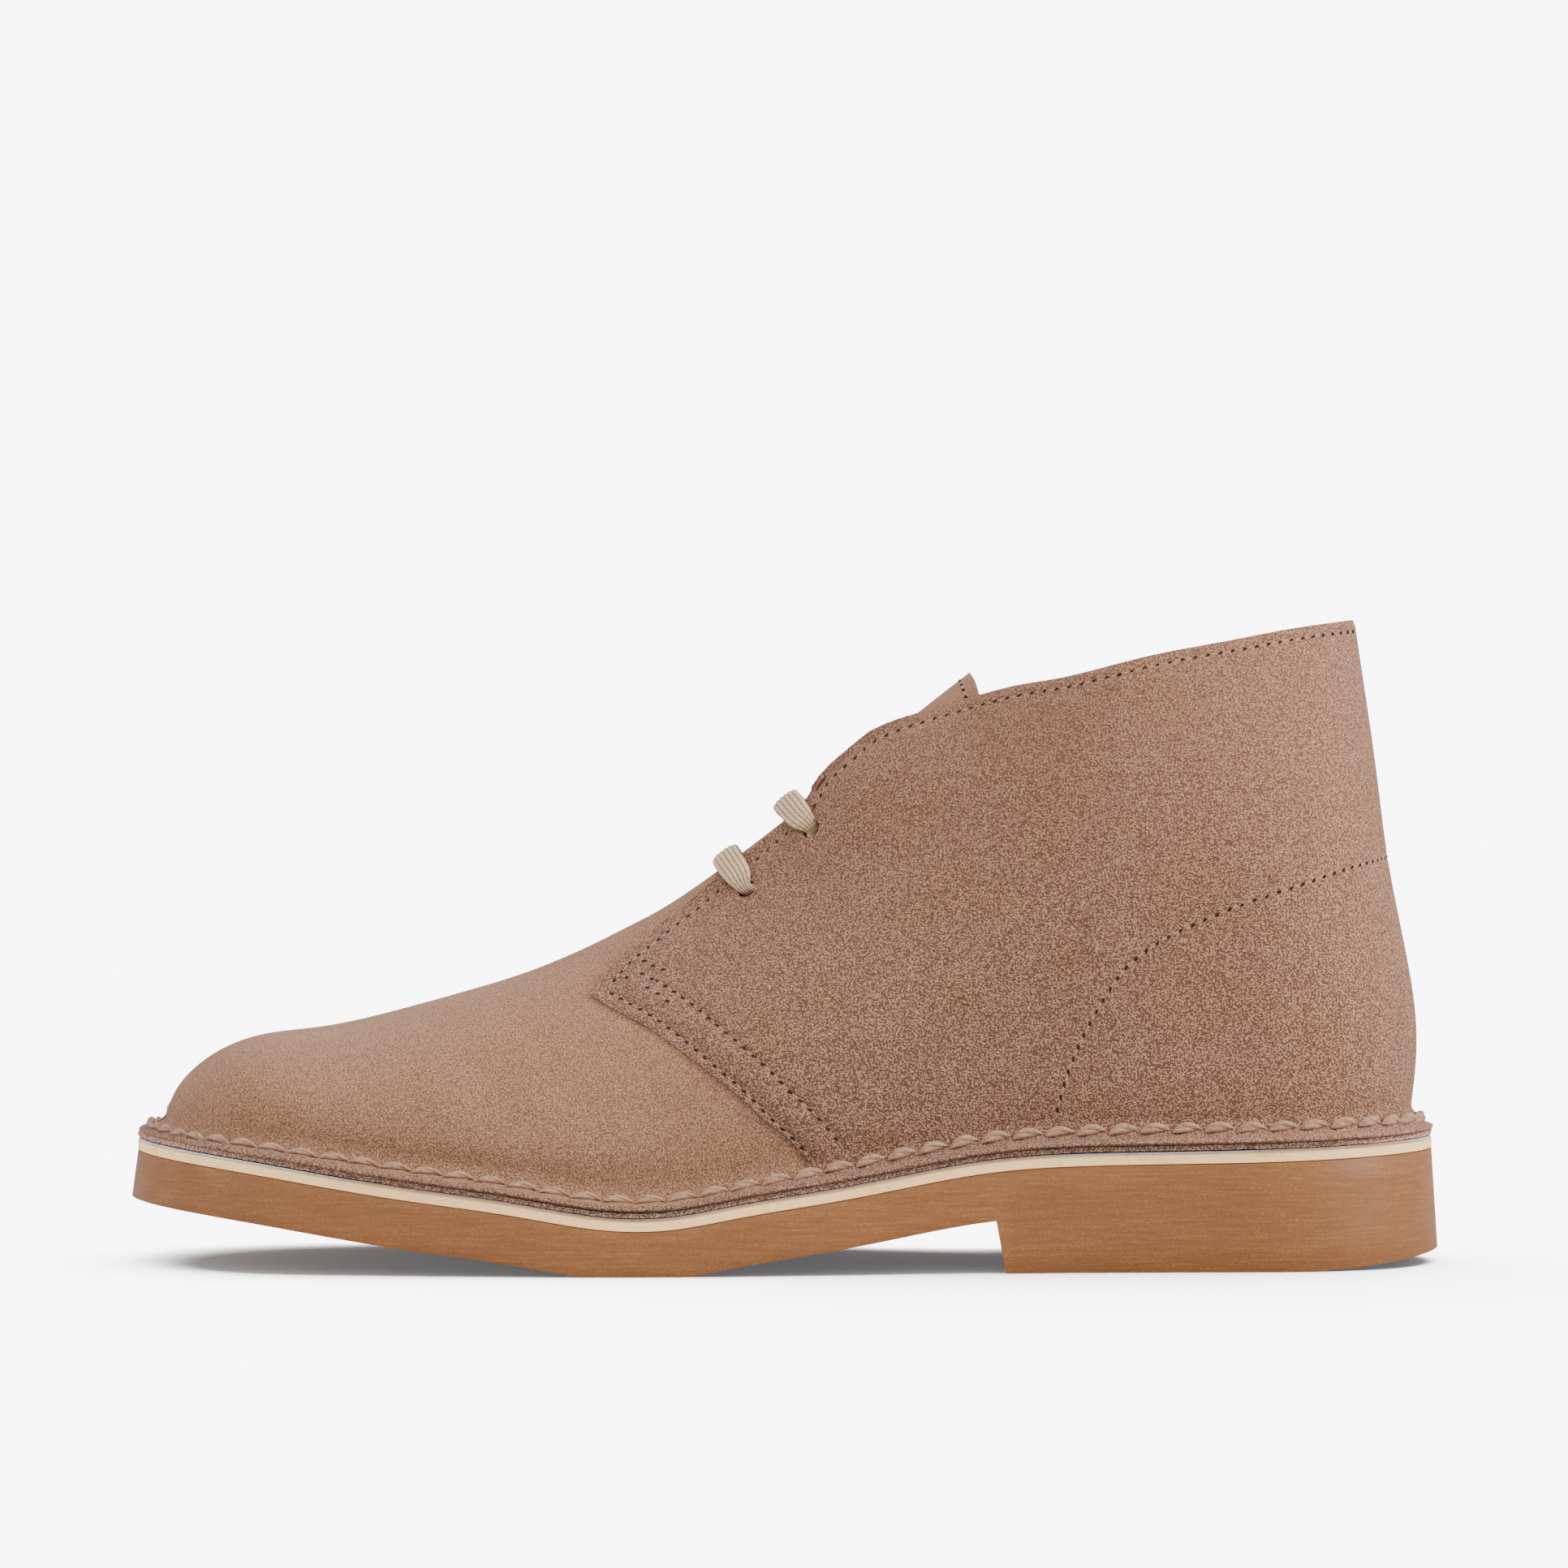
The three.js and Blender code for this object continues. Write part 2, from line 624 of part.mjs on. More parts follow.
function makeTongue() {
  const offset = (distance) => (p) =>
    distance - laceRoom * smoothStep(throatHalf(p.x) - 4, throatHalf(p.x) + 3, Math.abs(p.y - middle(p.x, p.z)));
  const skin = lastedSolid(offset(-tongueDrop)).subtract(lastedSolid(offset(-tongueDrop - tongueThickness)));
  const top = alongBoot(0.643);
  const topZ = instepHeight;
  const low = alongBoot(0.36);
  const side = acrossSolid([
    [low, farZ],
    [top - 12, topZ + 14],
    [top + 1, topZ + 0.5],
    [top + 10, topZ - 16],
    [top - 2, topZ - 34],
    [low + 26, 0.47 * instepHeight],
    [low - 10, 0.47 * instepHeight],
  ]);
  const half = (x) => lerp(tongueHalfLow, tongueHalfHigh, smoothStep(low, top, x)) * ballWidth;
  const plan = uprightSolid(
    [
      [low - 20, ridgeLean - half(low)],
      [top + 20, -half(top)],
      [top + 20, half(top)],
      [low - 20, ridgeLean + half(low)],
    ],
    20,
    farZ,
  );
  return skin.intersect(side).intersect(plan).subtract(aheadOfSeam(seamOverlap + 1.6 * seatGap));
}

// A flat lace along a path, its ends narrowed to pass through the eyelets.
function laceSolid(path, upDirections) {
  const rings = path.map((p, i) => {
    const before = path[Math.max(i - 1, 0)];
    const after = path[Math.min(i + 1, path.length - 1)];
    const run = after.clone().sub(before).normalize();
    const up = upDirections[i].clone().addScaledVector(run, -upDirections[i].dot(run)).normalize();
    const across = run.clone().cross(up);
    const end = Math.min(i, path.length - 1 - i) / (path.length - 1);
    const width = lerp(0.5, 1, smoothStep(0, 0.22, end)) * laceWidth;
    return [0, 1, 2, 3, 4, 5, 6, 7].map((k) => {
      const a = ((k + 0.5) / 8) * 2 * Math.PI;
      return p
        .clone()
        .addScaledVector(across, (Math.cos(a) * width) / 2 / Math.cos(Math.PI / 8))
        .addScaledVector(up, (Math.sin(a) * laceThickness) / 2 / Math.cos(Math.PI / 8));
    });
  });
  return solidOfRings(rings, false);
}

// A bar of the lace from one eyelet over the facings and the tongue to the other
function makeLaceBar(bar) {
  const clear = seatGap + laceThickness / 2;
  const crossX = alongBoot(bar.crossAt);
  const crossZ = instepZ(crossX);
  const crossUp = new THREE.Vector3(instepZ(crossX - 1) - instepZ(crossX + 1), 0, 2).normalize();
  const halves = [outer, inner].map((side) =>
    laceRests.map((share) => {
      const rise = 1 - (1 - share) ** 2;
      const x = lerp(alongBoot(bar.eyeletAt), crossX, rise);
      const z = lerp(bar.eyeletHeight * instepHeight, crossZ, rise);
      const { onLast, normal, offset } = quarterPoint(x, z, side);
      return { p: onLast.addScaledVector(normal, offset + clear), up: normal };
    }),
  );
  const onTongue = new THREE.Vector3(crossX, middle(crossX, crossZ), crossZ);
  const centre = { p: onTongue.addScaledVector(crossUp, clear - tongueDrop), up: crossUp };
  const rests = [...halves[0], centre, ...halves[1].reverse()];
  const route = new THREE.CatmullRomCurve3(rests.map((q) => q.p));
  const lean = new THREE.CatmullRomCurve3(rests.map((q) => q.up));
  return laceSolid(route.getPoints(laceSteps), lean.getPoints(laceSteps));
}

const finishes = {
  rubber: { color: 0xa06f4c, roughness: 0.55 },
  cream: { color: 0xe6cfa8, roughness: 0.85 },
  foam: { color: 0xd2d4d8, roughness: 0.9 },
  suede: { color: 0xa2826f, roughness: 0.95 },
  suedeEdge: { color: 0x7a5f55, roughness: 1.0 },
  lining: { color: 0xb59c84, roughness: 0.8 },
  cord: { color: 0xc1ac9b, roughness: 0.85 },
};

const boot = new THREE.Group();

function addPiece(name, solid, finish) {
  const made = solid.getMesh();
  const geometry = new THREE.BufferGeometry();
  geometry.setAttribute("position", new THREE.BufferAttribute(new Float32Array(made.vertProperties), 3));
  geometry.setIndex(new THREE.BufferAttribute(made.triVerts, 1));
  geometry.computeVertexNormals();
  const mesh = new THREE.Mesh(geometry, new THREE.MeshStandardMaterial({ ...finishes[finish], metalness: 0 }));
  mesh.name = name;
  boot.add(mesh);
  return mesh;
}

const outsole = addPiece("outsole", makeOutsole(), "rubber");
addPiece("midsole", makeMidsole(), "cream");
addPiece("filler", makeFiller(), "foam");
addPiece("welt", makeWelt(), "suedeEdge");
addPiece("upper", makeUpper(), "suede");
addPiece("tongue", makeTongue(), "suede");
addPiece("insole", makeInsole(), "lining");
for (const bar of laceBars) addPiece("lace_bar_" + bar.name, makeLaceBar(bar), "cord");

// The origin is on the floor under the middle of the outsole.
outsole.geometry.computeBoundingBox();
const centre = outsole.geometry.boundingBox.getCenter(new THREE.Vector3());
boot.position.set(-centre.x, -centre.y, 0);

export default boot;
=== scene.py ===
"""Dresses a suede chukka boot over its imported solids, in metres, toe towards -X and outer side to -Y."""

from __future__ import annotations

import json
import logging
import math
from dataclasses import dataclass, field
from enum import Enum
from typing import Callable

import bmesh
import bpy
import numpy as np
from mathutils import Matrix, Vector, noise
from mathutils.bvhtree import BVHTree

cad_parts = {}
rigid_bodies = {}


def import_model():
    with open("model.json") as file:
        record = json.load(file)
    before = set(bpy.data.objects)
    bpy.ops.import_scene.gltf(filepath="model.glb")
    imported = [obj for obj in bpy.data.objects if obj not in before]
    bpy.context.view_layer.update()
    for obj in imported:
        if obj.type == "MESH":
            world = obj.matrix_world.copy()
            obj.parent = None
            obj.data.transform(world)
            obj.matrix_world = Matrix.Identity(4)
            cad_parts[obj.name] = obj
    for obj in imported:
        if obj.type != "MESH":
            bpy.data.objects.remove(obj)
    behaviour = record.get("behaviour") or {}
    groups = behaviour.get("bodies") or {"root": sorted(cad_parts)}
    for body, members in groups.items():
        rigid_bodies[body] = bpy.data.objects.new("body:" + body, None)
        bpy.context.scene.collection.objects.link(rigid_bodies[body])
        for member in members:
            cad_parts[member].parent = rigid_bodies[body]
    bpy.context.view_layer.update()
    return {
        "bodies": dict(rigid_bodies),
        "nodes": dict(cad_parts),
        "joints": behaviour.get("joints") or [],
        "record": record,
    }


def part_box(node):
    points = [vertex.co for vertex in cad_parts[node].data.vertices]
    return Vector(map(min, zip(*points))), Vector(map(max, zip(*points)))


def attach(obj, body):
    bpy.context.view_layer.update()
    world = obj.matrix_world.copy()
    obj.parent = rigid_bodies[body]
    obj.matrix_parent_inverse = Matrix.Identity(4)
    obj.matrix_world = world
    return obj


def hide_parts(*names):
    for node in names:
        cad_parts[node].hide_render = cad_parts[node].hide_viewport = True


LOG = logging.getLogger("chukka_boot")
MM = 0.001
ROOT = "root"
OUTER = -1.0
INNER = 1.0
WALK_STEPS = 600

Triple = tuple[float, float, float]
Colour = Triple
Curve = Callable[[np.ndarray], np.ndarray]
Place = tuple[Vector, Vector]
Rows = tuple[tuple[float, ...], ...]
Socket = bpy.types.NodeSocket


class Grain(Enum):
    """How coarse a suede's nap is: the size of its tufts, their contrast and their relief."""

    FINE = (0.3 * MM, 1.5, 0.6)
    COARSE = (0.37 * MM, 2.5, 0.8)


def spline(places: np.ndarray, values: np.ndarray) -> Curve:
    """Gives a natural cubic spline through some values.

    Args:
        places: Rising places of the values.
        values: The values there.

    Returns:
        A function from places to values, held level past both ends.
    """
    x = np.asarray(places, float)
    y = np.asarray(values, float)
    count = len(x)
    step = np.diff(x)
    system = np.eye(count)
    right = np.zeros(count)
    for k in range(1, count - 1):
        system[k, k - 1 : k + 2] = (step[k - 1], 2 * (step[k - 1] + step[k]), step[k])
        right[k] = 6 * ((y[k + 1] - y[k]) / step[k] - (y[k] - y[k - 1]) / step[k - 1])
    bend = np.linalg.solve(system, right)

    def at(v: np.ndarray) -> np.ndarray:
        """Evaluates the spline."""
        v = np.clip(v, x[0], x[-1])
        k = np.clip(np.searchsorted(x, v) - 1, 0, count - 2)
        b = (v - x[k]) / step[k]
        a = 1 - b
        curved = (a**3 - a) * bend[k] + (b**3 - b) * bend[k + 1]
        return a * y[k] + b * y[k + 1] + curved * step[k] ** 2 / 6

    return at


def smooth(low: float, high: float, v: np.ndarray) -> np.ndarray:
    """Rises smoothly from 0 at low to 1 at high."""
    t = np.clip((np.asarray(v, float) - low) / (high - low), 0, 1)
    return t * t * (3 - 2 * t)


def blend(a: np.ndarray, b: np.ndarray, t: np.ndarray) -> np.ndarray:
    """Mixes two values by a share."""
    return a * (1 - t) + b * t


def even(t: np.ndarray) -> np.ndarray:
    """Leaves shares as they are."""
    return t


def run_along(points: np.ndarray) -> np.ndarray:
    """The length walked at each point of a line."""
    return np.concatenate([[0], np.cumsum(np.linalg.norm(np.diff(points, axis=0), axis=1))])


def eased_chord(points: np.ndarray) -> np.ndarray:
    """Parameters for a spline through unevenly spaced points, from the roots of their distances."""
    return np.concatenate([[0], np.cumsum(np.sqrt(np.linalg.norm(np.diff(points, axis=0), axis=1)))])


def pick(wanted: np.ndarray, run: np.ndarray, values: np.ndarray) -> np.ndarray:
    """Reads each column of a table at the wanted places along it."""
    return np.stack([np.interp(wanted, run, column) for column in values.T], axis=1)


def splines(places: np.ndarray, values: np.ndarray, fine: np.ndarray) -> np.ndarray:
    """Reads a spline through each column of a table at fine places."""
    return np.stack([spline(places, column)(fine) for column in values.T], axis=1)


def to_right(points: np.ndarray) -> np.ndarray:
    """Directions to the right of a line's own, in its first two columns."""
    run = np.gradient(points, axis=0)[:, :2]
    run /= np.maximum(np.linalg.norm(run, axis=1, keepdims=True), 1e-9)
    return np.stack([run[:, 1], -run[:, 0]], axis=1)


def outward(points: np.ndarray) -> np.ndarray:
    """Level directions to the right of a line in space."""
    return np.c_[to_right(points), np.zeros(len(points))]


def ragged_run(points: np.ndarray) -> np.ndarray:
    """How a cut edge wanders at each point, in long and in short waves."""
    return np.array([noise.noise(Vector(p) / (1.7 * MM)) + 0.7 * noise.noise(Vector(p) / (0.6 * MM)) for p in points])


def polyline(points: np.ndarray, count: int, spacing: Curve = even) -> np.ndarray:
    """Walks along a smooth curve through some points.

    Args:
        points: The points, one a row.
        count: How many points are wanted.
        spacing: Maps even shares of the walk to the shares wanted.

    Returns:
        The points on the curve.
    """
    points = np.asarray(points, float)
    chord = run_along(points)
    dense = splines(chord, points, np.linspace(0, chord[-1], WALK_STEPS))
    run = run_along(dense)
    return pick(spacing(np.linspace(0, 1, count)) * run[-1], run, dense)


@dataclass
class Last:
    """The form that the upper is pulled over, worked out as the solids are."""

    foot_length: float = 289 * MM
    ball_width: float = 94 * MM
    instep_height: float = 136 * MM
    back_height: float = 149 * MM
    collar_width: float = 74 * MM
    sole_rise: float = 15.4 * MM
    outsole_thickness: float = 10.7 * MM
    stack_thickness: float = 4.7 * MM
    quarter_step: float = 1.5 * MM
    ridge_lean: float = 2.5 * MM
    swell_height: float = 15 * MM
    heel_fullness: float = 2.3
    sole_line: Rows = (
        (-0.028, 0.985), (0.08, 0.75), (0.19, 0.42), (0.29, 0.16), (0.355, -0.03), (0.41, -0.03),
        (0.46, 0.13), (0.55, 0.405), (0.66, 0.765), (0.73, 0.85), (0.85, 0.89), (1.028, 1.02),
    )
    instep_line: Rows = (
        (0.0, 0.13), (0.0, 0.245), (0.0108, 0.302), (0.0397, 0.355), (0.079, 0.386), (0.1317, 0.401),
        (0.22, 0.447), (0.299, 0.499), (0.378, 0.578), (0.43, 0.649), (0.5, 0.761), (0.64, 0.999),
        (0.76, 1.18),
    )
    back_line: Rows = (
        (0.1, 0.999), (0.22, 0.9995), (0.33, 1.005), (0.46, 0.998), (0.61, 0.983), (0.77, 0.972),
        (1.0, 0.955), (1.08, 0.95),
    )
    plan_line: Rows = (
        (0.0, 0.4, 0.5), (0.1, 0.43, 0.497), (0.22, 0.475, 0.5), (0.345, 0.5, 0.49), (0.45, 0.485, 0.435),
        (0.55, 0.44, 0.365), (0.66, 0.382, 0.33), (0.8, 0.345, 0.335), (1.0, 0.34, 0.34),
    )
    crown_line: Rows = (
        (0.0, 0.09, 2.0, 0.0), (0.06, 0.12, 2.0, 0.02), (0.14, 0.17, 1.9, 0.035), (0.25, 0.25, 1.7, 0.035),
        (0.36, 0.36, 1.4, 0.025), (0.5, 0.46, 1.35, 0.03), (0.7, 0.5, 1.5, 0.035), (1.0, 0.5, 1.6, 0.04),
    )
    round_line: Rows = (
        (0.1, 0.13, 0.13), (0.3, 0.135, 0.13), (0.5, 0.22, 0.13), (0.75, 0.22, 0.15), (1.0, 0.17, 0.16),
        (1.1, 0.16, 0.16),
    )
    curves: dict[str, Curve] = field(default_factory=dict)
    shift_x: float = 0.0
    shift_y: float = 0.0

    def __post_init__(self) -> None:
        """Works the tables out into curves."""
        toe = self.toe

        def table(name: str, rows: Rows, column: int, size: float, place: float | None = None) -> None:
            """Keeps one column of a table as a curve."""
            data = np.array(rows)
            places = toe + data[:, 0] * self.foot_length if place is None else data[:, 0] * place
            self.curves[name] = spline(places, data[:, column] * size)

        table("underside", self.sole_line, 1, self.sole_rise)
        table("outside", self.plan_line, 1, self.ball_width)
        table("inside", self.plan_line, 2, self.ball_width)
        table("depth", self.crown_line, 1, self.instep_height)
        table("full", self.crown_line, 2, 1.0)
        table("swell", self.crown_line, 3, self.ball_width)
        table("front", self.round_line, 1, self.foot_length, self.instep_height)
        table("back", self.round_line, 2, self.foot_length, self.instep_height)
        back = np.array(self.back_line)
        self.curves["back_x"] = spline(
            back[:, 0] * self.back_height, toe + back[:, 1] * self.foot_length - self.quarter_step
        )
        line = np.array(self.instep_line) * (self.foot_length, self.instep_height) + (toe, 0)
        chord = eased_chord(line)
        ridge = splines(chord, line, np.linspace(0, chord[-1], 2 * WALK_STEPS))
        ridge_x = np.maximum.accumulate(np.maximum(ridge[:, 0], toe))
        ridge_z = np.maximum.accumulate(ridge[:, 1])
        rising = np.arange(2 * WALK_STEPS) * 1e-12
        self.curves["ridge_z"] = lambda x: np.interp(x, ridge_x + rising, ridge_z)
        self.curves["ridge_x"] = lambda z: np.interp(z, ridge_z + rising, ridge_x)

    @property
    def toe(self) -> float:
        """The place of the toe along the boot."""
        return self.shift_x - self.foot_length / 2

    @property
    def heel(self) -> float:
        """The place of the heel along the boot."""
        return self.shift_x + self.foot_length / 2

    def along(self, share: float | np.ndarray) -> float | np.ndarray:
        """Turns a share of the foot's length into a place."""
        return self.toe + np.asarray(share) * self.foot_length

    def sole_top(self, x: np.ndarray) -> np.ndarray:
        """The top of the rubber."""
        return self.curves["underside"](x) + self.outsole_thickness

    def flange_base(self, x: np.ndarray) -> np.ndarray:
        """The level that the upper's turned-out edge lies on."""
        return self.sole_top(x) + self.stack_thickness

    def half_width(self, x: np.ndarray, z: np.ndarray) -> np.ndarray:
        """Half the width of the lasted form at a place seen from the side."""
        c = self.curves
        above = np.maximum((c["ridge_z"](x) - z) / c["depth"](x), 1e-9)
        behind = np.maximum((x - c["ridge_x"](z)) / c["front"](z), 1e-9)
        edge = (above**-3.0 + behind**-3.0) ** (-1 / 3)
        lift = np.clip((z - self.flange_base(x)) / self.swell_height, 0, 1)
        foot = (c["outside"](x) + c["inside"](x)) / 2 + c["swell"](x) * (1 - (1 - lift) ** 2)
        shaft = smooth(0.3 * self.instep_height, 0.78 * self.instep_height, z)
        body = blend(foot, self.collar_width / 2 - self.quarter_step, shaft)
        front = np.sqrt(1 - (1 - np.clip(edge, 0, 1)) ** c["full"](x))
        rear = np.clip((c["back_x"](z) - x) / c["back"](z), 0, 1)
        return body * front * np.sqrt(1 - (1 - rear) ** self.heel_fullness)

    def middle(self, x: np.ndarray, z: np.ndarray) -> np.ndarray:
        """The middle of the lasted form at a place seen from the side."""
        c = self.curves
        foot = (c["inside"](x) - c["outside"](x)) / 2
        rise = np.clip((z - self.flange_base(x)) / (c["ridge_z"](x) - self.flange_base(x) + MM), 0, 1)
        top = self.ridge_lean * (1 - smooth(0.4, 0.75, (x - self.toe) / self.foot_length))
        share = smooth(0, 1, rise) * smooth(self.toe, self.toe + 60 * MM, x)
        return blend(foot, top, share) + self.shift_y

    def surface(self, x: np.ndarray, z: np.ndarray, side: np.ndarray | float) -> np.ndarray:
        """Points of the lasted form, from places seen from the side."""
        x, z = np.broadcast_arrays(np.asarray(x, float), np.asarray(z, float))
        return np.stack([x, self.middle(x, z) + side * self.half_width(x, z), z], axis=-1)

    def skin(self, x: float, z: float, side: float, offset: float) -> Place:
        """Finds a place over the lasted form.

        Args:
            x: The place along the boot, as seen from the side.
            z: Its height, as seen from the side.
            side: OUTER or INNER.
            offset: How far the place lies off the lasted form.

        Returns:
            The place, and the direction that the form looks in there.
        """
        step = 0.05 * MM

        def reach(px: float, pz: float) -> float:
            """How far out the form lies."""
            return float(side * self.middle(px, pz) + self.half_width(px, pz))

        slope_x = (reach(x + step, z) - reach(x - step, z)) / (2 * step)
        slope_z = (reach(x, z + step) - reach(x, z - step)) / (2 * step)
        normal = Vector((-slope_x, side, -slope_z)).normalized()
        return Vector((x, side * reach(x, z), z)) + normal * offset, normal

    def outline(self, steps: int, offset: float) -> tuple[np.ndarray, np.ndarray]:
        """The outline where the upper turns out, moved outwards.

        Args:
            steps: How many stations lie along the boot.
            offset: How far out the outline is moved.

        Returns:
            The outer and the inner side's points, each from toe to heel, as x and y.
        """
        heel = self.heel
        for _ in range(4):
            heel = float(self.curves["back_x"](self.flange_base(np.array(heel))))
        x = blend(self.toe, heel, (1 - np.cos(np.linspace(0, 1, steps + 1) * np.pi)) / 2)
        z = self.flange_base(x)
        half = self.half_width(x, z)
        half[[0, -1]] = 0
        centre = self.middle(x, z)
        loop = np.concatenate([np.stack([x, centre - half], 1), np.stack([x, centre + half], 1)[::-1][1:-1]])
        run = np.roll(loop, -1, axis=0) - np.roll(loop, 1, axis=0)
        run /= np.maximum(np.linalg.norm(run, axis=1, keepdims=True), 1e-12)
        moved = loop + offset * np.stack([run[:, 1], -run[:, 0]], axis=1)
        outer = moved[: steps + 1]
        inner = np.concatenate([moved[:1], moved[steps:][::-1]])
        return outer, inner


def spread(knots: Rows) -> Curve:
    """Gives a smooth rising map of shares through some knots."""
    table = np.array(knots, float)
    fine = np.linspace(0, 1, 401)
    sharp = np.interp(fine, table[:, 0], table[:, 1])
    window = np.hanning(43)
    padded = np.concatenate([2 * sharp[0] - sharp[21:0:-1], sharp, 2 * sharp[-1] - sharp[-2:-23:-1]])
    soft = np.convolve(padded, window / window.sum(), mode="valid")
    soft = (soft - soft[0]) / (soft[-1] - soft[0])
    return lambda t: np.interp(t, fine, soft)


def offset_line(line: np.ndarray, distance: float) -> np.ndarray:
    """Moves a line seen from the side to the right of its own direction."""
    return line + distance * to_right(line)


def reach_to(places: np.ndarray, line: np.ndarray, at_once: int = 4000) -> np.ndarray:
    """Distances from places to the nearest point of a line, worked out some places at once."""
    flat = places.reshape(-1, 2)
    away = np.empty(len(flat))
    for start in range(0, len(flat), at_once):
        part = flat[start : start + at_once, None] - line[None]
        away[start : start + at_once] = np.sqrt((part**2).sum(axis=2)).min(axis=1)
    return away.reshape(places.shape[:-1])


def deselect() -> None:
    """Deselects everything."""
    if bpy.context.object and bpy.context.mode != "OBJECT":
        bpy.ops.object.mode_set(mode="OBJECT")
    bpy.ops.object.select_all(action="DESELECT")


def take(piece: bpy.types.Object) -> None:
    """Makes one piece the selected and active one."""
    deselect()
    piece.select_set(True)
    bpy.context.view_layer.objects.active = piece


def merge(piece: bpy.types.Object, distance: float = 1e-6) -> None:
    """Joins points that lie on one another, and drops faces with no area."""
    mesh = bmesh.new()
    mesh.from_mesh(piece.data)
    bmesh.ops.remove_doubles(mesh, verts=mesh.verts, dist=distance)
    bmesh.ops.dissolve_degenerate(mesh, edges=mesh.edges, dist=distance / 2)
    mesh.to_mesh(piece.data)
    mesh.free()


def sheet(name: str, points: np.ndarray) -> bpy.types.Object:
    """Lays a grid over a table of points.

    Args:
        name: The piece's name.
        points: The points, as rows of columns.

    Returns:
        The new object, whose faces look along column cross row.
    """
    rows, columns = points.shape[:2]
    deselect()
    bpy.ops.mesh.primitive_grid_add(x_subdivisions=columns - 1, y_subdivisions=rows - 1, size=1)
    piece = bpy.context.object
    piece.name = name
    piece.data.name = name
    piece.data.vertices.foreach_set("co", points.reshape(-1).astype(np.float32))
    piece.data.update()
    return piece


def apply(piece: bpy.types.Object, kind: str, **settings: object) -> None:
    """Adds one modifier to a piece, sets it and applies it."""
    take(piece)
    modifier = piece.modifiers.new(kind.title(), kind)
    for key, value in settings.items():
        setattr(modifier, key, value)
    bpy.ops.object.modifier_apply(modifier=modifier.name)


def shade(piece: bpy.types.Object, degrees: float = 40) -> None:
    """Shades a piece smooth, save across its sharp edges."""
    take(piece)
    bpy.ops.object.shade_smooth_by_angle(angle=math.radians(degrees))


def flow(points: np.ndarray) -> np.ndarray:
    """Outward directions of a table of points, as column cross row."""
    down = np.gradient(points, axis=0)
    across = np.gradient(points, axis=1)
    normal = np.cross(across, down)
    length = np.linalg.norm(normal, axis=-1, keepdims=True)
    return normal / np.maximum(length, 1e-12)


def repeat(template: bpy.types.Object, name: str, places: list[Matrix]) -> bpy.types.Object:
    """Copies a small form to many places, all within its one mesh.

    Args:
        template: The small form, which becomes the result.
        name: The result's name.
        places: Where the copies go.

    Returns:
        The result.
    """
    mesh = template.data
    points = np.empty(len(mesh.vertices) * 3)
    mesh.vertices.foreach_get("co", points)
    points = np.c_[points.reshape(-1, 3), np.ones(len(mesh.vertices))]
    faces = [tuple(face.vertices) for face in mesh.polygons]
    placed = np.concatenate([points @ np.array(place).T[:, :3] for place in places])
    moved = [tuple(v + k * len(points) for v in face) for k in range(len(places)) for face in faces]
    mesh.clear_geometry()
    mesh.from_pydata(placed.tolist(), [], moved)
    mesh.update()
    template.name = name
    mesh.name = name
    return template


def bead(length: float, width: float, height: float) -> bpy.types.Object:
    """Makes a small rounded form along X."""
    deselect()
    bpy.ops.mesh.primitive_uv_sphere_add(segments=8, ring_count=6, radius=0.5)
    piece = bpy.context.object
    piece.data.transform(Matrix.Rotation(math.pi / 2, 4, "Y"))
    piece.data.transform(Matrix.Diagonal((length, width, height, 1)))
    return piece


def cord(plies: int, length: float, width: float, height: float, turns: float) -> bpy.types.Object:
    """Makes one thick stitch of twisted plies, fullest in its middle, with both ends going down."""
    around = 8
    along = 18
    t = np.linspace(0, 1, along)
    full = np.sin(np.pi * np.clip(t, 0.015, 0.985)) ** 0.55
    ring = -np.linspace(0, 2 * np.pi, around + 1)
    tables = []
    for ply in range(plies):
        angle = 2 * np.pi * (turns * t + ply / plies)
        swing = 0.2 * width * full
        centre = np.stack(
            [(t - 0.5) * length, swing * np.cos(angle), height * (full - 0.62) + 0.7 * swing * np.sin(angle)], axis=1
        )
        radius = 0.31 * width * full
        offset = np.stack([np.zeros_like(ring), np.cos(ring), np.sin(ring)], axis=1)
        tables.append(centre[None] + offset[:, None] * radius[None, :, None])
    pieces = [sheet("ply", table) for table in tables]
    for piece in pieces:
        merge(piece)
    deselect()
    for piece in pieces:
        piece.select_set(True)
    bpy.context.view_layer.objects.active = pieces[0]
    bpy.ops.object.join()
    return bpy.context.object


@dataclass
class Skin:
    """Finds places on finished pieces."""

    tree: BVHTree
    far: float = 300 * MM
    least_turn: float = 0.08

    @classmethod
    def over(cls, *pieces: bpy.types.Object) -> Skin:
        """Makes a finder over some pieces."""
        points: list[Vector] = []
        faces: list[tuple[int, ...]] = []
        for piece in pieces:
            start = len(points)
            points += [vertex.co.copy() for vertex in piece.data.vertices]
            faces += [tuple(v + start for v in face.vertices) for face in piece.data.polygons]
        return cls(BVHTree.FromPolygons(points, faces))

    def from_side(self, line: np.ndarray, side: float) -> list[Place]:
        """Projects a line seen from the side on the pieces, save where they nearly face up."""
        found = []
        for x, z in line:
            start = Vector((x, side * self.far, z))
            point, normal, _, _ = self.tree.ray_cast(start, Vector((0, -side, 0)))
            if point is not None and abs(normal.y) > self.least_turn:
                found.append((point, normal))
        return found

    def nearest(self, points: np.ndarray) -> list[Place]:
        """The nearest places to some points."""
        found = [self.tree.find_nearest(Vector(point))[:2] for point in points]
        return [(place, normal if normal.z > 0 else -normal) for place, normal in found]


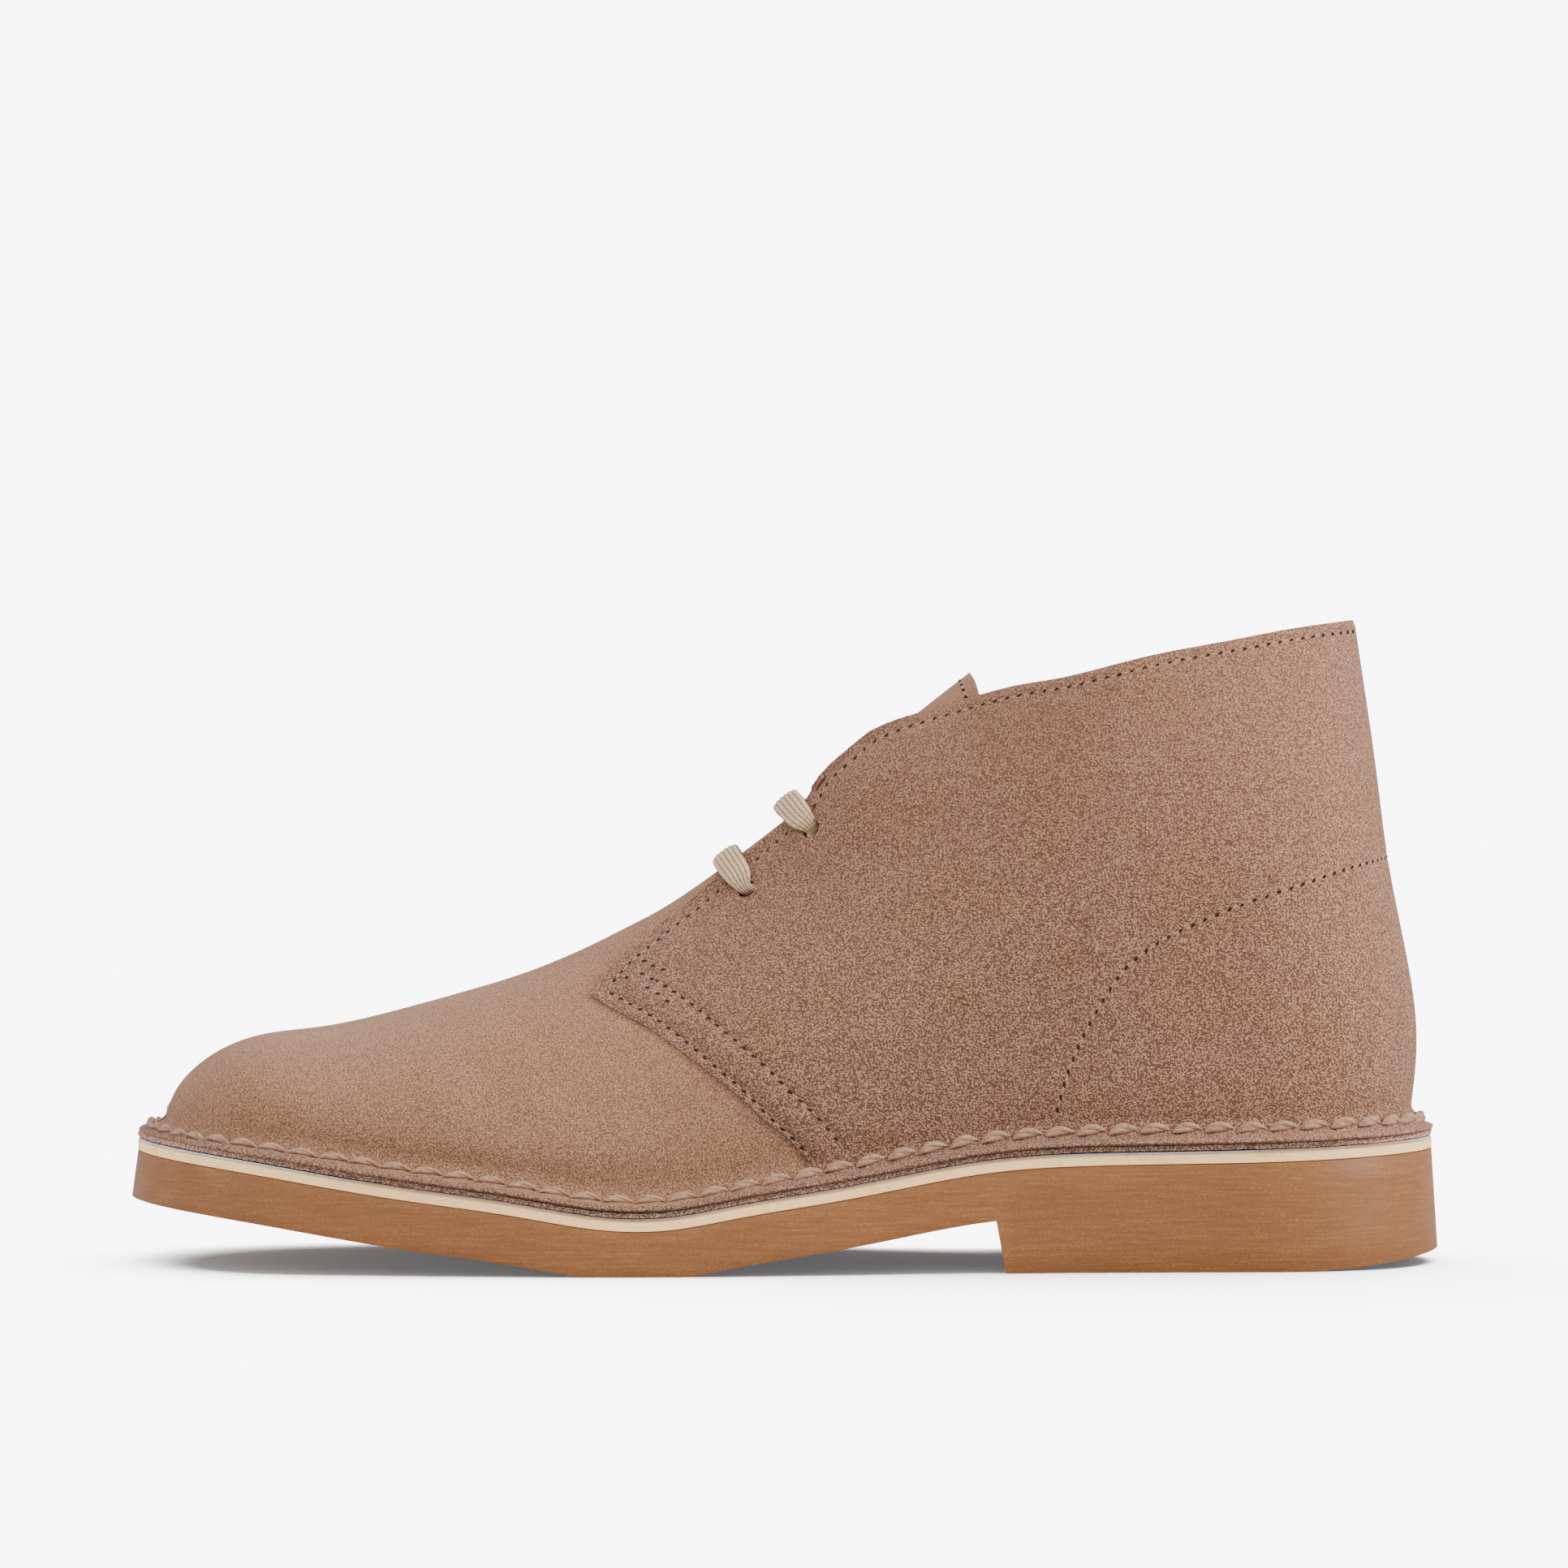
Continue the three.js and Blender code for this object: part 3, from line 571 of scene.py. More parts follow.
def walk(found: list[Place], pitch: float, start: float = 0.5) -> list[Matrix]:
    """Steps evenly along a line on a skin.

    Args:
        found: The line's points and the directions that the skin looks in.
        pitch: The length of a step.
        start: Where in the first step the first place lies, as a share.

    Returns:
        Frames with X along the line and Z out of the skin.
    """
    points = np.array([place for place, _ in found])
    normals = np.array([normal for _, normal in found])
    run = run_along(points)
    count = max(int(run[-1] / pitch), 1)
    wanted = (np.arange(count) + start) * run[-1] / count
    tables = [pick(wanted, run, values) for values in (points, np.gradient(points, axis=0), normals)]
    frames = []
    for centre, direction, normal in zip(*tables):
        out = Vector(normal).normalized()
        along = Vector(direction)
        along = (along - out * along.dot(out)).normalized()
        across = out.cross(along)
        frame = Matrix((along, across, out)).transposed().to_4x4()
        frame.translation = Vector(centre)
        frames.append(frame)
    return frames


class Nodes:
    """Builds one material's nodes in a few words."""

    def __init__(self, name: str) -> None:
        """Starts a material with its shader."""
        self.material = bpy.data.materials.new(name)
        self.material.use_nodes = True
        self.tree = self.material.node_tree
        self.shader = self.tree.nodes["Principled BSDF"]
        self.place = self.tree.nodes.new("ShaderNodeTexCoord")

    def add(self, kind: str, **inputs: object) -> bpy.types.Node:
        """Adds a node and sets or links its inputs by name."""
        node = self.tree.nodes.new(kind)
        for key, value in inputs.items():
            self.put(node, key.replace("_", " "), value)
        return node

    def put(self, node: bpy.types.Node, key: str | int, value: object) -> None:
        """Sets an input, or links it where a socket is given."""
        if isinstance(value, bpy.types.NodeSocket):
            self.tree.links.new(value, node.inputs[key])
        else:
            node.inputs[key].default_value = value

    def noise(self, size: float, detail: float = 2, roughness: float = 0.5, stretch: Triple = (1, 1, 1)) -> Socket:
        """Adds noise over the object.

        Args:
            size: About how large its features are.
            detail: How many finer layers it has.
            roughness: How strong the finer layers are.
            stretch: How much denser it is along each axis.

        Returns:
            The socket of its value, from 0 to 1.
        """
        mapping = self.add("ShaderNodeMapping", Vector=self.place.outputs["Object"], Scale=stretch)
        node = self.add(
            "ShaderNodeTexNoise", Vector=mapping.outputs[0], Scale=1 / size, Detail=detail, Roughness=roughness
        )
        return node.outputs["Fac"]

    def axis(self, index: int) -> Socket:
        """Gives one of the object's own coordinates."""
        return self.add("ShaderNodeSeparateXYZ", Vector=self.place.outputs["Object"]).outputs[index]

    def mixed(self, *parts: tuple[Socket, float]) -> Socket:
        """Adds up some values, each times its weight."""
        total, weight = parts[0]
        total = self.maths("MULTIPLY", total, weight)
        for value, weight in parts[1:]:
            total = self.maths("ADD", total, self.maths("MULTIPLY", value, weight))
        return total

    def tones(self, value: Socket, tone: Colour, *stops: tuple[float, Colour]) -> Socket:
        """Adds a ramp of shades of one tone.

        Args:
            value: The socket that chooses the shade.
            tone: The tone that the stops multiply.
            stops: Places on the ramp, and the factors of red, green and blue there.

        Returns:
            The colour's socket.
        """
        return self.ramp(
            value, tuple((at, tuple(min(t * f, 1) for t, f in zip(tone, factors))) for at, factors in stops)
        )

    def ramp(self, value: Socket, stops: tuple[tuple[float, Colour], ...]) -> Socket:
        """Adds a colour ramp, and gives its colour socket."""
        node = self.add("ShaderNodeValToRGB", Fac=value)
        bar = node.color_ramp.elements
        while len(bar) < len(stops):
            bar.new(0.5)
        for element, (place, colour) in zip(bar, stops):
            element.position = place
            element.color = (*colour, 1)
        return node.outputs["Color"]

    def mix(self, share: Socket | float, a: object, b: object, mode: str = "MIX") -> Socket:
        """Mixes two colours, and gives the result's socket."""
        node = self.tree.nodes.new("ShaderNodeMix")
        node.data_type = "RGBA"
        node.blend_type = mode
        self.put(node, 0, share)
        self.put(node, 6, a)
        self.put(node, 7, b)
        return node.outputs[2]

    def tinted_for_stain_and_light(self, colour: Socket, value: Socket, span: tuple[float, float], low: Colour, high: Colour) -> Socket:
        """Multiplies a colour by a tint that goes from low to high as a value crosses a span, for random stains and
        for painted light.
        """
        tint = self.mix(self.span(value, *span), (*low, 1), (*high, 1))
        return self.mix(1.0, colour, tint, "MULTIPLY")

    def maths(self, operation: str, a: object, b: object = 0.0) -> Socket:
        """Works out one sum, and gives its socket."""
        node = self.tree.nodes.new("ShaderNodeMath")
        node.operation = operation
        self.put(node, 0, a)
        self.put(node, 1, b)
        return node.outputs[0]

    def span(self, value: Socket, low: float, high: float, to_low: float = 0, to_high: float = 1) -> Socket:
        """Maps one range to another, clamped, and gives the socket."""
        node = self.tree.nodes.new("ShaderNodeMapRange")
        for index, entry in enumerate((value, low, high, to_low, to_high)):
            self.put(node, index, entry)
        return node.outputs[0]

    def bump(self, height: Socket, strength: float, distance: float) -> None:
        """Raises the surface by a height."""
        node = self.add("ShaderNodeBump", Strength=strength, Distance=distance, Height=height)
        self.tree.links.new(node.outputs["Normal"], self.shader.inputs["Normal"])

    def finish(self, colour: Socket, roughness: float, **settings: object) -> bpy.types.Material:
        """Sets the shader and gives the material."""
        self.put(self.shader, "Base Color", colour)
        self.put(self.shader, "Roughness", roughness)
        for key, value in settings.items():
            self.put(self.shader, key.replace("_", " "), value)
        return self.material


def srgb(red: float, green: float, blue: float) -> Colour:
    """Turns a colour seen on a screen, 11 to 255, into the light that it stands for."""
    return tuple(((v / 255 + 0.055) / 1.055) ** 2.4 for v in (red, green, blue))


@dataclass(frozen=True)
class Suede:
    """Brushed split leather with a short nap."""

    name: str
    tone: Colour
    grain: Grain = Grain.COARSE
    contrast: float = 1.0

    def build(self) -> bpy.types.Material:
        """Makes the material."""
        n = Nodes(self.name)
        size, contrast, relief = self.grain.value
        contrast *= self.contrast
        calmer = n.span(n.axis(2), 55 * MM, 125 * MM, contrast * 1.15, contrast * 0.6)
        nap = n.noise(size, 1, 0.5)
        tuft = n.add("ShaderNodeTexVoronoi", Vector=n.place.outputs["Object"], Scale=0.8 / size).outputs["Distance"]
        lie = n.noise(0.3 * MM, 2, 0.7, (1.0, 1.0, 0.5))
        cloud = n.noise(22 * MM, 3, 0.55)
        patch = n.noise(5 * MM, 3, 0.6)
        fur = n.maths("ADD", n.mixed((nap, 0.5), (lie, 0.25)), n.span(tuft, 0.1, 0.9, 0.25, 0))
        fur = n.maths("ADD", n.maths("MULTIPLY", n.maths("SUBTRACT", fur, 0.5), calmer), 0.5)
        colour = n.tones(fur, self.tone, (0.22, (0.58, 0.56, 0.54)), (0.5, (1, 1, 1)), (0.86, (2.1, 2.15, 2.2)))
        colour = n.tinted_for_stain_and_light(colour, cloud, (0.35, 0.65), srgb(250, 244, 240), srgb(255, 248, 252))
        colour = n.tinted_for_stain_and_light(colour, patch, (0.3, 0.7), srgb(250, 249, 248), (1, 1, 1))
        # Painted light: every suede grows lighter towards the heel, standing in for the brighter side light that falls
        # there.
        colour = n.tinted_for_stain_and_light(colour, n.axis(0), (60 * MM, 125 * MM), (1, 1, 1), (1.28, 1.26, 1.24))
        n.bump(fur, relief, 0.25 * MM)
        return n.finish(
            colour, 0.95, Specular_IOR_Level=0.15, Sheen_Weight=0.16, Sheen_Roughness=0.5,
            Sheen_Tint=(*srgb(226, 205, 190), 1),
        )


@dataclass(frozen=True)
class GumRubber:
    """Honey-brown gum rubber, brushed along its sides."""

    name: str = "outsole_rubber"
    tone: Colour = srgb(147, 97, 55)

    def build(self) -> bpy.types.Material:
        """Makes the material."""
        n = Nodes(self.name)
        speck = n.noise(0.5 * MM, 2, 0.7)
        scratch = n.noise(0.6 * MM, 3, 0.7, (0.05, 0.05, 1))
        cloud = n.noise(18 * MM, 2, 0.5)
        mixed = n.mixed((speck, 0.5), (scratch, 0.5))
        colour = n.tones(mixed, self.tone, (0.36, (0.8, 0.77, 0.74)), (0.53, (1, 1, 1)), (0.7, (1.5, 1.56, 1.65)))
        colour = n.tinted_for_stain_and_light(colour, cloud, (0.3, 0.7), srgb(246, 240, 236), srgb(255, 252, 246))
        n.bump(mixed, 0.25, 0.12 * MM)
        return n.finish(colour, 0.5, Specular_IOR_Level=0.35)


@dataclass(frozen=True)
class Board:
    """A cut edge of board or sheet, slightly ragged, which can glow in its own colour as painted light."""

    name: str
    tone: Colour
    blot: Colour
    amount: float = 0.5
    # How strongly the edge glows in its own colour: painted light, since it is no lamp.
    glow: float = 0.0

    def build(self) -> bpy.types.Material:
        """Makes the material."""
        n = Nodes(self.name)
        fleck = n.noise(0.9 * MM, 4, 0.65)
        run = n.noise(3 * MM, 3, 0.6, (0.4, 0.4, 1))
        share = n.span(n.mixed((fleck, 0.55), (run, 0.45)), 0.5, 0.68, 0, self.amount)
        colour = n.mix(share, (*self.tone, 1), (*self.blot, 1))
        n.bump(fleck, 0.4, 0.25 * MM)
        # Painted light: the emission makes the cut edge look brightly lit.
        n.put(n.shader, "Emission Color", colour)
        return n.finish(colour, 0.9, Specular_IOR_Level=0.2, Emission_Strength=self.glow)


@dataclass(frozen=True)
class Braid:
    """Flat braided cotton, its strands crossing in small leaves along the lace."""

    name: str = "lace_cord"
    tone: Colour = srgb(208, 174, 140)
    strands: float = 6
    pitch: float = 1.15 * MM

    def build(self) -> bpy.types.Material:
        """Makes the material, from UVs that hold metres along and shares across."""
        n = Nodes(self.name)
        split = n.add("ShaderNodeSeparateXYZ", Vector=n.place.outputs["UV"])
        across = n.maths("MULTIPLY", split.outputs[1], self.strands)
        column = n.maths("ABSOLUTE", n.maths("SUBTRACT", n.maths("FRACT", across), 0.5))
        slant = n.maths("ADD", n.maths("DIVIDE", split.outputs[0], self.pitch), n.maths("MULTIPLY", column, 1.1))
        leaf = n.maths("ABSOLUTE", n.maths("SUBTRACT", n.maths("FRACT", slant), 0.5))
        groove = n.span(column, 0.16, 0.48, 1, 0)
        bead = n.span(leaf, 0.1, 0.5, 1, 0.35)
        height = n.maths("MULTIPLY", groove, bead)
        fray = n.noise(0.35 * MM, 3, 0.6)
        height = n.mixed((height, 0.72), (fray, 0.3))
        # Painted shade and highlight: the grooves between strands and the ends of each leaf are darkened, and the
        # crests are lightened, as light would fall on the braid's relief.
        colour = n.tones(height, self.tone, (0.12, (0.3, 0.26, 0.24)), (0.42, (1, 1, 1)), (0.9, (1.3, 1.3, 1.3)))
        n.bump(height, 0.7, 0.35 * MM)
        return n.finish(colour, 0.8, Specular_IOR_Level=0.2, Sheen_Weight=0.05)


@dataclass(frozen=True)
class Thread:
    """Spun thread, its twist seen as slanting lines."""

    name: str
    tone: Colour
    twist: float = 1.1 * MM

    def build(self) -> bpy.types.Material:
        """Makes the material."""
        n = Nodes(self.name)
        fibre = n.noise(self.twist * 0.35, 3, 0.6, (0.35, 0.35, 1))
        fray = n.noise(0.3 * MM, 3, 0.6)
        mixed = n.mixed((fibre, 0.6), (fray, 0.4))
        colour = n.tones(mixed, self.tone, (0.36, (0.55, 0.53, 0.5)), (0.52, (1, 1, 1)), (0.66, (1.35, 1.36, 1.38)))
        n.bump(mixed, 0.5, 0.2 * MM)
        return n.finish(colour, 0.85, Specular_IOR_Level=0.2, Sheen_Weight=0.15)


@dataclass(frozen=True)
class Lining:
    """Smooth lining leather with fine pores."""

    name: str = "lining_leather"
    tone: Colour = srgb(196, 170, 146)

    def build(self) -> bpy.types.Material:
        """Makes the material."""
        n = Nodes(self.name)
        pore = n.noise(0.7 * MM, 3, 0.6)
        cloud = n.noise(16 * MM, 3, 0.5)
        colour = n.tones(cloud, self.tone, (0.35, (0.88, 0.86, 0.84)), (0.65, (1.08, 1.08, 1.08)))
        n.bump(pore, 0.25, 0.12 * MM)
        return n.finish(colour, 0.6, Specular_IOR_Level=0.3)


@dataclass(frozen=True)
class Shade:
    """Painted shade: the dark inside a needle hole, laid on small beads."""

    name: str = "needle_hole_shade"

    def build(self) -> bpy.types.Material:
        """Makes the material."""
        n = Nodes(self.name)
        fleck = n.noise(0.3 * MM, 2, 0.5)
        colour = n.ramp(fleck, ((0.3, srgb(34, 26, 24)), (0.7, srgb(66, 50, 44))))
        return n.finish(colour, 1.0, Specular_IOR_Level=0.0)


@dataclass
class Sole:
    """Outsole with its heel, midsole, filler and welt strip."""

    last: Last
    steps: int = 190
    flange_width: float = 6.5 * MM
    flare: float = 1.4 * MM
    gap: float = 0.3 * MM
    midsole: float = 2.0 * MM
    filler: float = 0.4 * MM
    welt: float = 1.1 * MM
    breast_share: float = 0.6635
    breast_turn: float = 0.055
    breast_lean: float = 1.4 * MM
    heel_roll: float = 3.8 * MM
    heel_roll_length: float = 42 * MM
    draw_back: float = 1.2 * MM
    insole_rise: float = 3.2 * MM
    insole_foot: float = -1.2 * MM
    insole_head: float = 1.9 * MM

    def plate(
        self,
        name: str,
        low: Curve,
        high: Curve,
        base_out: float,
        top_out: float,
        ragged: float,
        rows: int = 4,
        hidden: Curve | None = None,
    ) -> bpy.types.Object:
        """Lofts a plate between two levels along the boot.

        Args:
            name: The piece's name.
            low: Height of the underside along the boot.
            high: Height of the top along the boot.
            base_out: How far the underside's outline stands out from the upper.
            top_out: The same for the top.
            ragged: How far the cut edge wanders.
            rows: How many rows of faces the edge has.
            hidden: How far the edge draws back along the boot, if it does.

        Returns:
            The closed plate.
        """
        base = self.last.outline(self.steps, base_out)
        top = self.last.outline(self.steps, top_out)
        beyond = self.last.outline(self.steps, top_out + MM)
        ring: list[np.ndarray] = []

        def edge(side: int, share: float) -> np.ndarray:
            """One row of points along one side."""
            xy = blend(base[side], top[side], share)
            z = blend(low(base[side][:, 0]), high(top[side][:, 0]), share)
            points = np.concatenate([xy, z[:, None]], axis=1)
            away = (beyond[side] - top[side]) / MM
            if hidden is not None:
                points[:, :2] -= away * hidden(points[:, 0])[:, None]
            if ragged and 0 < share < 1:
                points[:, :2] += away * ragged * ragged_run(points)[:, None]
            return points

        shares = np.linspace(0, 1, rows + 1)
        ring += [edge(0, s) for s in shares]
        ring += [blend(edge(0, 1), edge(1, 1), t) for t in (0.25, 0.5, 0.75)]
        ring += [edge(1, s) for s in shares[::-1]]
        ring += [blend(edge(1, 0), edge(0, 0), t) for t in (0.25, 0.5, 0.75)]
        ring.append(ring[0])
        points = np.stack(ring)
        piece = sheet(name, points)
        merge(piece)
        return piece

    def build_outsole(self, finish: bpy.types.Material) -> bpy.types.Object:
        """Makes the rubber unit, its heel joined to the plate at the breast."""
        last = self.last
        breast = float(last.along(self.breast_share))
        rear = last.heel + self.flange_width + self.flare

        def low(x: np.ndarray) -> np.ndarray:
            """The plate's underside, and the heel's behind its breast."""
            plate = np.maximum(last.curves["underside"](x), 0)
            heel = self.heel_roll * np.clip(1 - (rear - x) / self.heel_roll_length, 0, None) ** 2
            return np.where(x < breast + self.breast_lean / 2, plate, heel)

        piece = self.plate("outsole_unit", low, last.sole_top, self.flange_width + self.flare, self.flange_width, 0)
        outer_y = min(v.co.y for v in piece.data.vertices if abs(v.co.x - breast) < 10 * MM)
        for vertex in piece.data.vertices:
            near = 1 - float(smooth(2 * MM, 22 * MM, abs(vertex.co.x - breast)))
            vertex.co.x += self.breast_turn * (vertex.co.y - outer_y) * near
        apply(piece, "BEVEL", limit_method="ANGLE", angle_limit=math.radians(50), width=0.5 * MM, segments=2)
        return self.dress(piece, finish, "outsole")

    def dress(self, piece: bpy.types.Object, finish: bpy.types.Material, node: str) -> bpy.types.Object:
        """Gives a piece its finish and hides the node that it stands for."""
        shade(piece)
        piece.data.materials.clear()
        piece.data.materials.append(finish)
        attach(piece, ROOT)
        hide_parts(node)
        LOG.info("%s: %d faces", piece.name, len(piece.data.polygons))
        return piece

    def drawn_back(self, x: np.ndarray) -> np.ndarray:
        """How far the filler's edge draws back, save where it shows."""
        share = (x - self.last.toe) / self.last.foot_length
        shows = np.maximum(1 - smooth(0.14, 0.18, share), smooth(0.7, 0.73, share) * (1 - smooth(0.85, 0.88, share)))
        shows = np.maximum(shows, smooth(0.985, 1.0, share))
        return self.draw_back * (1 - shows)

    def build_insole(self, finish: bpy.types.Material) -> bpy.types.Object:
        """Makes the insole inside the walls."""
        base = self.last.flange_base

        def kept_in(x: np.ndarray) -> np.ndarray:
            """How far the edge stays back where the walls stand steeper."""
            share = (x - self.last.toe) / self.last.foot_length
            return (1.2 * (1 - smooth(0.5, 0.6, share)) + 1.7 * (1 - smooth(0.06, 0.2, share))) * MM

        piece = self.plate(
            "insole_sheet",
            lambda x: base(x) + self.gap,
            lambda x: base(x) + self.insole_rise,
            self.insole_foot,
            self.insole_head,
            0,
            hidden=kept_in,
        )
        return self.dress(piece, finish, "insole")

    def build_layers(self, finishes: dict[str, bpy.types.Material]) -> list[bpy.types.Object]:
        """Makes the thin layers between the rubber and the upper."""
        last = self.last
        top = last.sole_top
        out = self.flange_width
        level = self.gap
        made = []
        for name, thick, proud, ragged, hidden, node, slot in (
            ("midsole_board", self.midsole, 0.0, 0.15 * MM, None, "midsole", "midsole_board"),
            ("filler_sheet_edge", self.filler, -0.25 * MM, 0.1 * MM, self.drawn_back, "filler", "filler_sheet"),
            ("welt_strip", self.welt, -0.1 * MM, 0.4 * MM, None, "welt", "welt_suede"),
        ):
            low = level
            high = level + thick
            piece = self.plate(
                name,
                lambda x, low=low: top(x) + low,
                lambda x, high=high: top(x) + high,
                out + proud,
                out + proud,
                ragged,
                hidden=hidden,
            )
            made.append(self.dress(piece, finishes[node], node))
            level = high + self.gap
        return made


@dataclass
class Upper:
    """Vamp with its tongue, and the two quarters in one sheet round the heel."""

    last: Last
    leather: float = 1.7 * MM
    step: float = 1.5 * MM
    flange_width: float = 6.5 * MM
    flange_thickness: float = 1.4 * MM
    overlap: float = 11 * MM
    corner_flare: float = 3.6 * MM
    flare_centre: tuple[float, float] = (0.545, 0.87)
    flare_reach: float = 32 * MM
    tongue_drop: float = 0.5 * MM
    lace_room: float = 2.1 * MM
    wall_start: float = 5.6 * MM
    seam_line: Rows = (
        (0.516, 0.15), (0.499, 0.191), (0.481, 0.223), (0.464, 0.257), (0.448, 0.284), (0.430, 0.313),
        (0.413, 0.339), (0.394, 0.366), (0.374, 0.388), (0.357, 0.405), (0.343, 0.420),
    )
    top_line: Rows = (
        (0.343, 0.424), (0.357, 0.455), (0.370, 0.482), (0.387, 0.509), (0.405, 0.537), (0.425, 0.567),
        (0.446, 0.602), (0.471, 0.641), (0.495, 0.682), (0.515, 0.722), (0.522, 0.746), (0.533, 0.771),
        (0.548, 0.796), (0.558, 0.813), (0.573, 0.831), (0.588, 0.843), (0.604, 0.853), (0.651, 0.880),
        (0.685, 0.896), (0.714, 0.905), (0.741, 0.917), (0.793, 0.942), (0.845, 0.961), (0.896, 0.980),
        (0.957, 0.997),
    )
    throat_line: Rows = (
        (0.3, 0.29), (0.343, 0.25), (0.38, 0.195), (0.43, 0.15), (0.5, 0.122), (0.55, 0.122), (0.62, 0.15),
    )
    counter_line: Rows = (
        (0.707, 0.208), (0.713, 0.261), (0.726, 0.336), (0.744, 0.403), (0.764, 0.459), (0.793, 0.503),
        (0.826, 0.534), (0.867, 0.565), (0.909, 0.591), (0.943, 0.612), (0.981, 0.628),
    )
    tack_upper: Rows = ((0.3806, 0.4755), (0.3871, 0.4687), (0.3935, 0.4624), (0.4013, 0.4567))
    tack_middle: Rows = ((0.3788, 0.4590), (0.3864, 0.4487), (0.3935, 0.4424))
    tack_lower: Rows = ((0.3649, 0.4487), (0.3755, 0.4424), (0.3839, 0.4349), (0.3917, 0.4273), (0.4058, 0.4096))
    seam_inset: float = 2.5 * MM
    seam_spacing: float = 7.3 * MM
    edge_inset: float = 2.7 * MM
    grooves: tuple[tuple[str, float, float], ...] = (
        ("seam", 0.4 * MM, 0.9 * MM), ("seam_second", 0.4 * MM, 0.9 * MM),
        ("edge", 0.3 * MM, 0.9 * MM), ("counter", 0.16 * MM, 1.1 * MM),
    )
    seam_puff: float = 0.35 * MM
    border_drop: float = 0.4 * MM
    border_width: float = 1.0 * MM
    hidden_line: Rows = ((0.508, 0.3), (0.482, 0.42), (0.505, 0.55), (0.58, 0.68), (0.664, 0.79))
    column_knots: Rows = ((0, 0), (0.15, 0.055), (0.3, 0.16), (0.85, 0.82), (1, 1))
    row_knots: Rows = ((0, 0), (0.1, 0.08), (0.84, 0.93), (1, 1))
    skive_depth: float = 0.75 * MM
    skive_width: float = 13 * MM
    ridge_gap: float = 1.2 * MM
    front_share: float = 0.6
    hidden_share: float = 0.7
    throat_place: float = 0.335
    throat_step: float = 8 * MM
    tip_place: float = 0.6445
    toe_columns: int = 5
    flange_share: float = 0.12
    edge_height: float = 1.5 * MM
    foot_height: float = 3 * MM
    eyelets: Rows = ((0.4693, 0.573), (0.5223, 0.662))
    eyelet_radius: float = 2.3 * MM
    stitch_out: float = 4.3 * MM
    stitch_pitch: float = 7.2 * MM

    tongue_row: np.ndarray | None = None
    folds: Rows = (
        (0.27, 0.27, 0.2, -0.9, 7.0, 0.22), (0.315, 0.3, 0.15, -0.85, 6.0, 0.18),
        (0.9, 0.42, 0.07, 0.25, 7.0, 0.3), (0.83, 0.72, 0.1, 0.15, 9.0, 0.28), (0.6, 0.45, 0.12, 0.9, 11.0, 0.3),
    )

    def side_view(self, rows: Rows) -> np.ndarray:
        """Turns shares of the length and back height into places seen from the side."""
        data = np.array(rows)
        return np.stack([self.last.along(data[:, 0]), data[:, 1] * self.last.back_height], axis=1)

    def throat_half(self, x: np.ndarray) -> np.ndarray:
        """Half the gap between the facings."""
        data = np.array(self.throat_line)
        return spline(self.last.along(data[:, 0]), data[:, 1] * self.last.ball_width)(x)

    def flare(self, x: np.ndarray, z: np.ndarray) -> np.ndarray:
        """How far the quarter's top front corner springs out."""
        cx = float(self.last.along(self.flare_centre[0]))
        cz = self.flare_centre[1] * self.last.instep_height
        away = np.hypot(x - cx, z - cz) / self.flare_reach
        return self.corner_flare * np.clip(1 - away**2, 0, None) ** 2

    def rows_of_stitches(self) -> dict[str, np.ndarray]:
        """The fine stitch rows of a quarter, seen from the side."""
        seam = polyline(self.side_view(self.seam_line), 400)
        top = polyline(self.side_view(self.top_line), 900)
        counter = polyline(self.side_view(self.counter_line), 400)
        second = offset_line(seam, self.seam_inset + self.seam_spacing)
        return {
            "seam": offset_line(seam, self.seam_inset)[:-14],
            "seam_second": second[second[:, 0] > self.last.along(0.396)],
            "edge": offset_line(top, self.edge_inset)[12:-8],
            "counter": counter,
            "tack_upper": polyline(self.side_view(self.tack_upper), 60),
            "tack_middle": polyline(self.side_view(self.tack_middle), 60),
            "tack_lower": polyline(self.side_view(self.tack_lower), 80),
        }

    def soft_folds(self, places: np.ndarray) -> np.ndarray:
        """The listed soft troughs over the leather, with a ridge on either side of each."""
        depth = np.zeros(places.shape[:-1])
        for x, z, length, slant, width, drop in self.folds:
            centre = self.side_view(((x, z),))[0]
            away = places - centre
            along = away[..., 0] * math.cos(slant) + away[..., 1] * math.sin(slant)
            across = away[..., 1] * math.cos(slant) - away[..., 0] * math.sin(slant)
            share = (across / (width * MM)) ** 2
            reach = np.clip(1 - (along / (length * self.last.foot_length / 2)) ** 2, 0, None) ** 1.5
            depth += drop * MM * reach * (1 - 2 * share) * np.exp(-share)
        return depth

    def relief(self, places: np.ndarray) -> np.ndarray:
        """How far the quarter swells or sinks along its seams."""
        rows = self.rows_of_stitches()
        away = {name: reach_to(places, rows[name]) for name, _, _ in self.grooves}
        seam, second = away["seam"], away["seam_second"]
        between = np.clip(1 - np.abs(seam - second) / self.seam_spacing, 0, 1)
        between *= (seam + second) < 1.25 * self.seam_spacing
        border = np.minimum(
            reach_to(places, polyline(self.side_view(self.seam_line), 400)),
            reach_to(places, polyline(self.side_view(self.top_line), 900)),
        )
        swell = self.seam_puff * smooth(0, 1, between) - self.soft_folds(places)
        swell -= self.border_drop * np.exp(-((border / self.border_width) ** 2))
        for name, depth, width in self.grooves:
            swell -= depth * np.exp(-((away[name] / width) ** 2))
        return swell

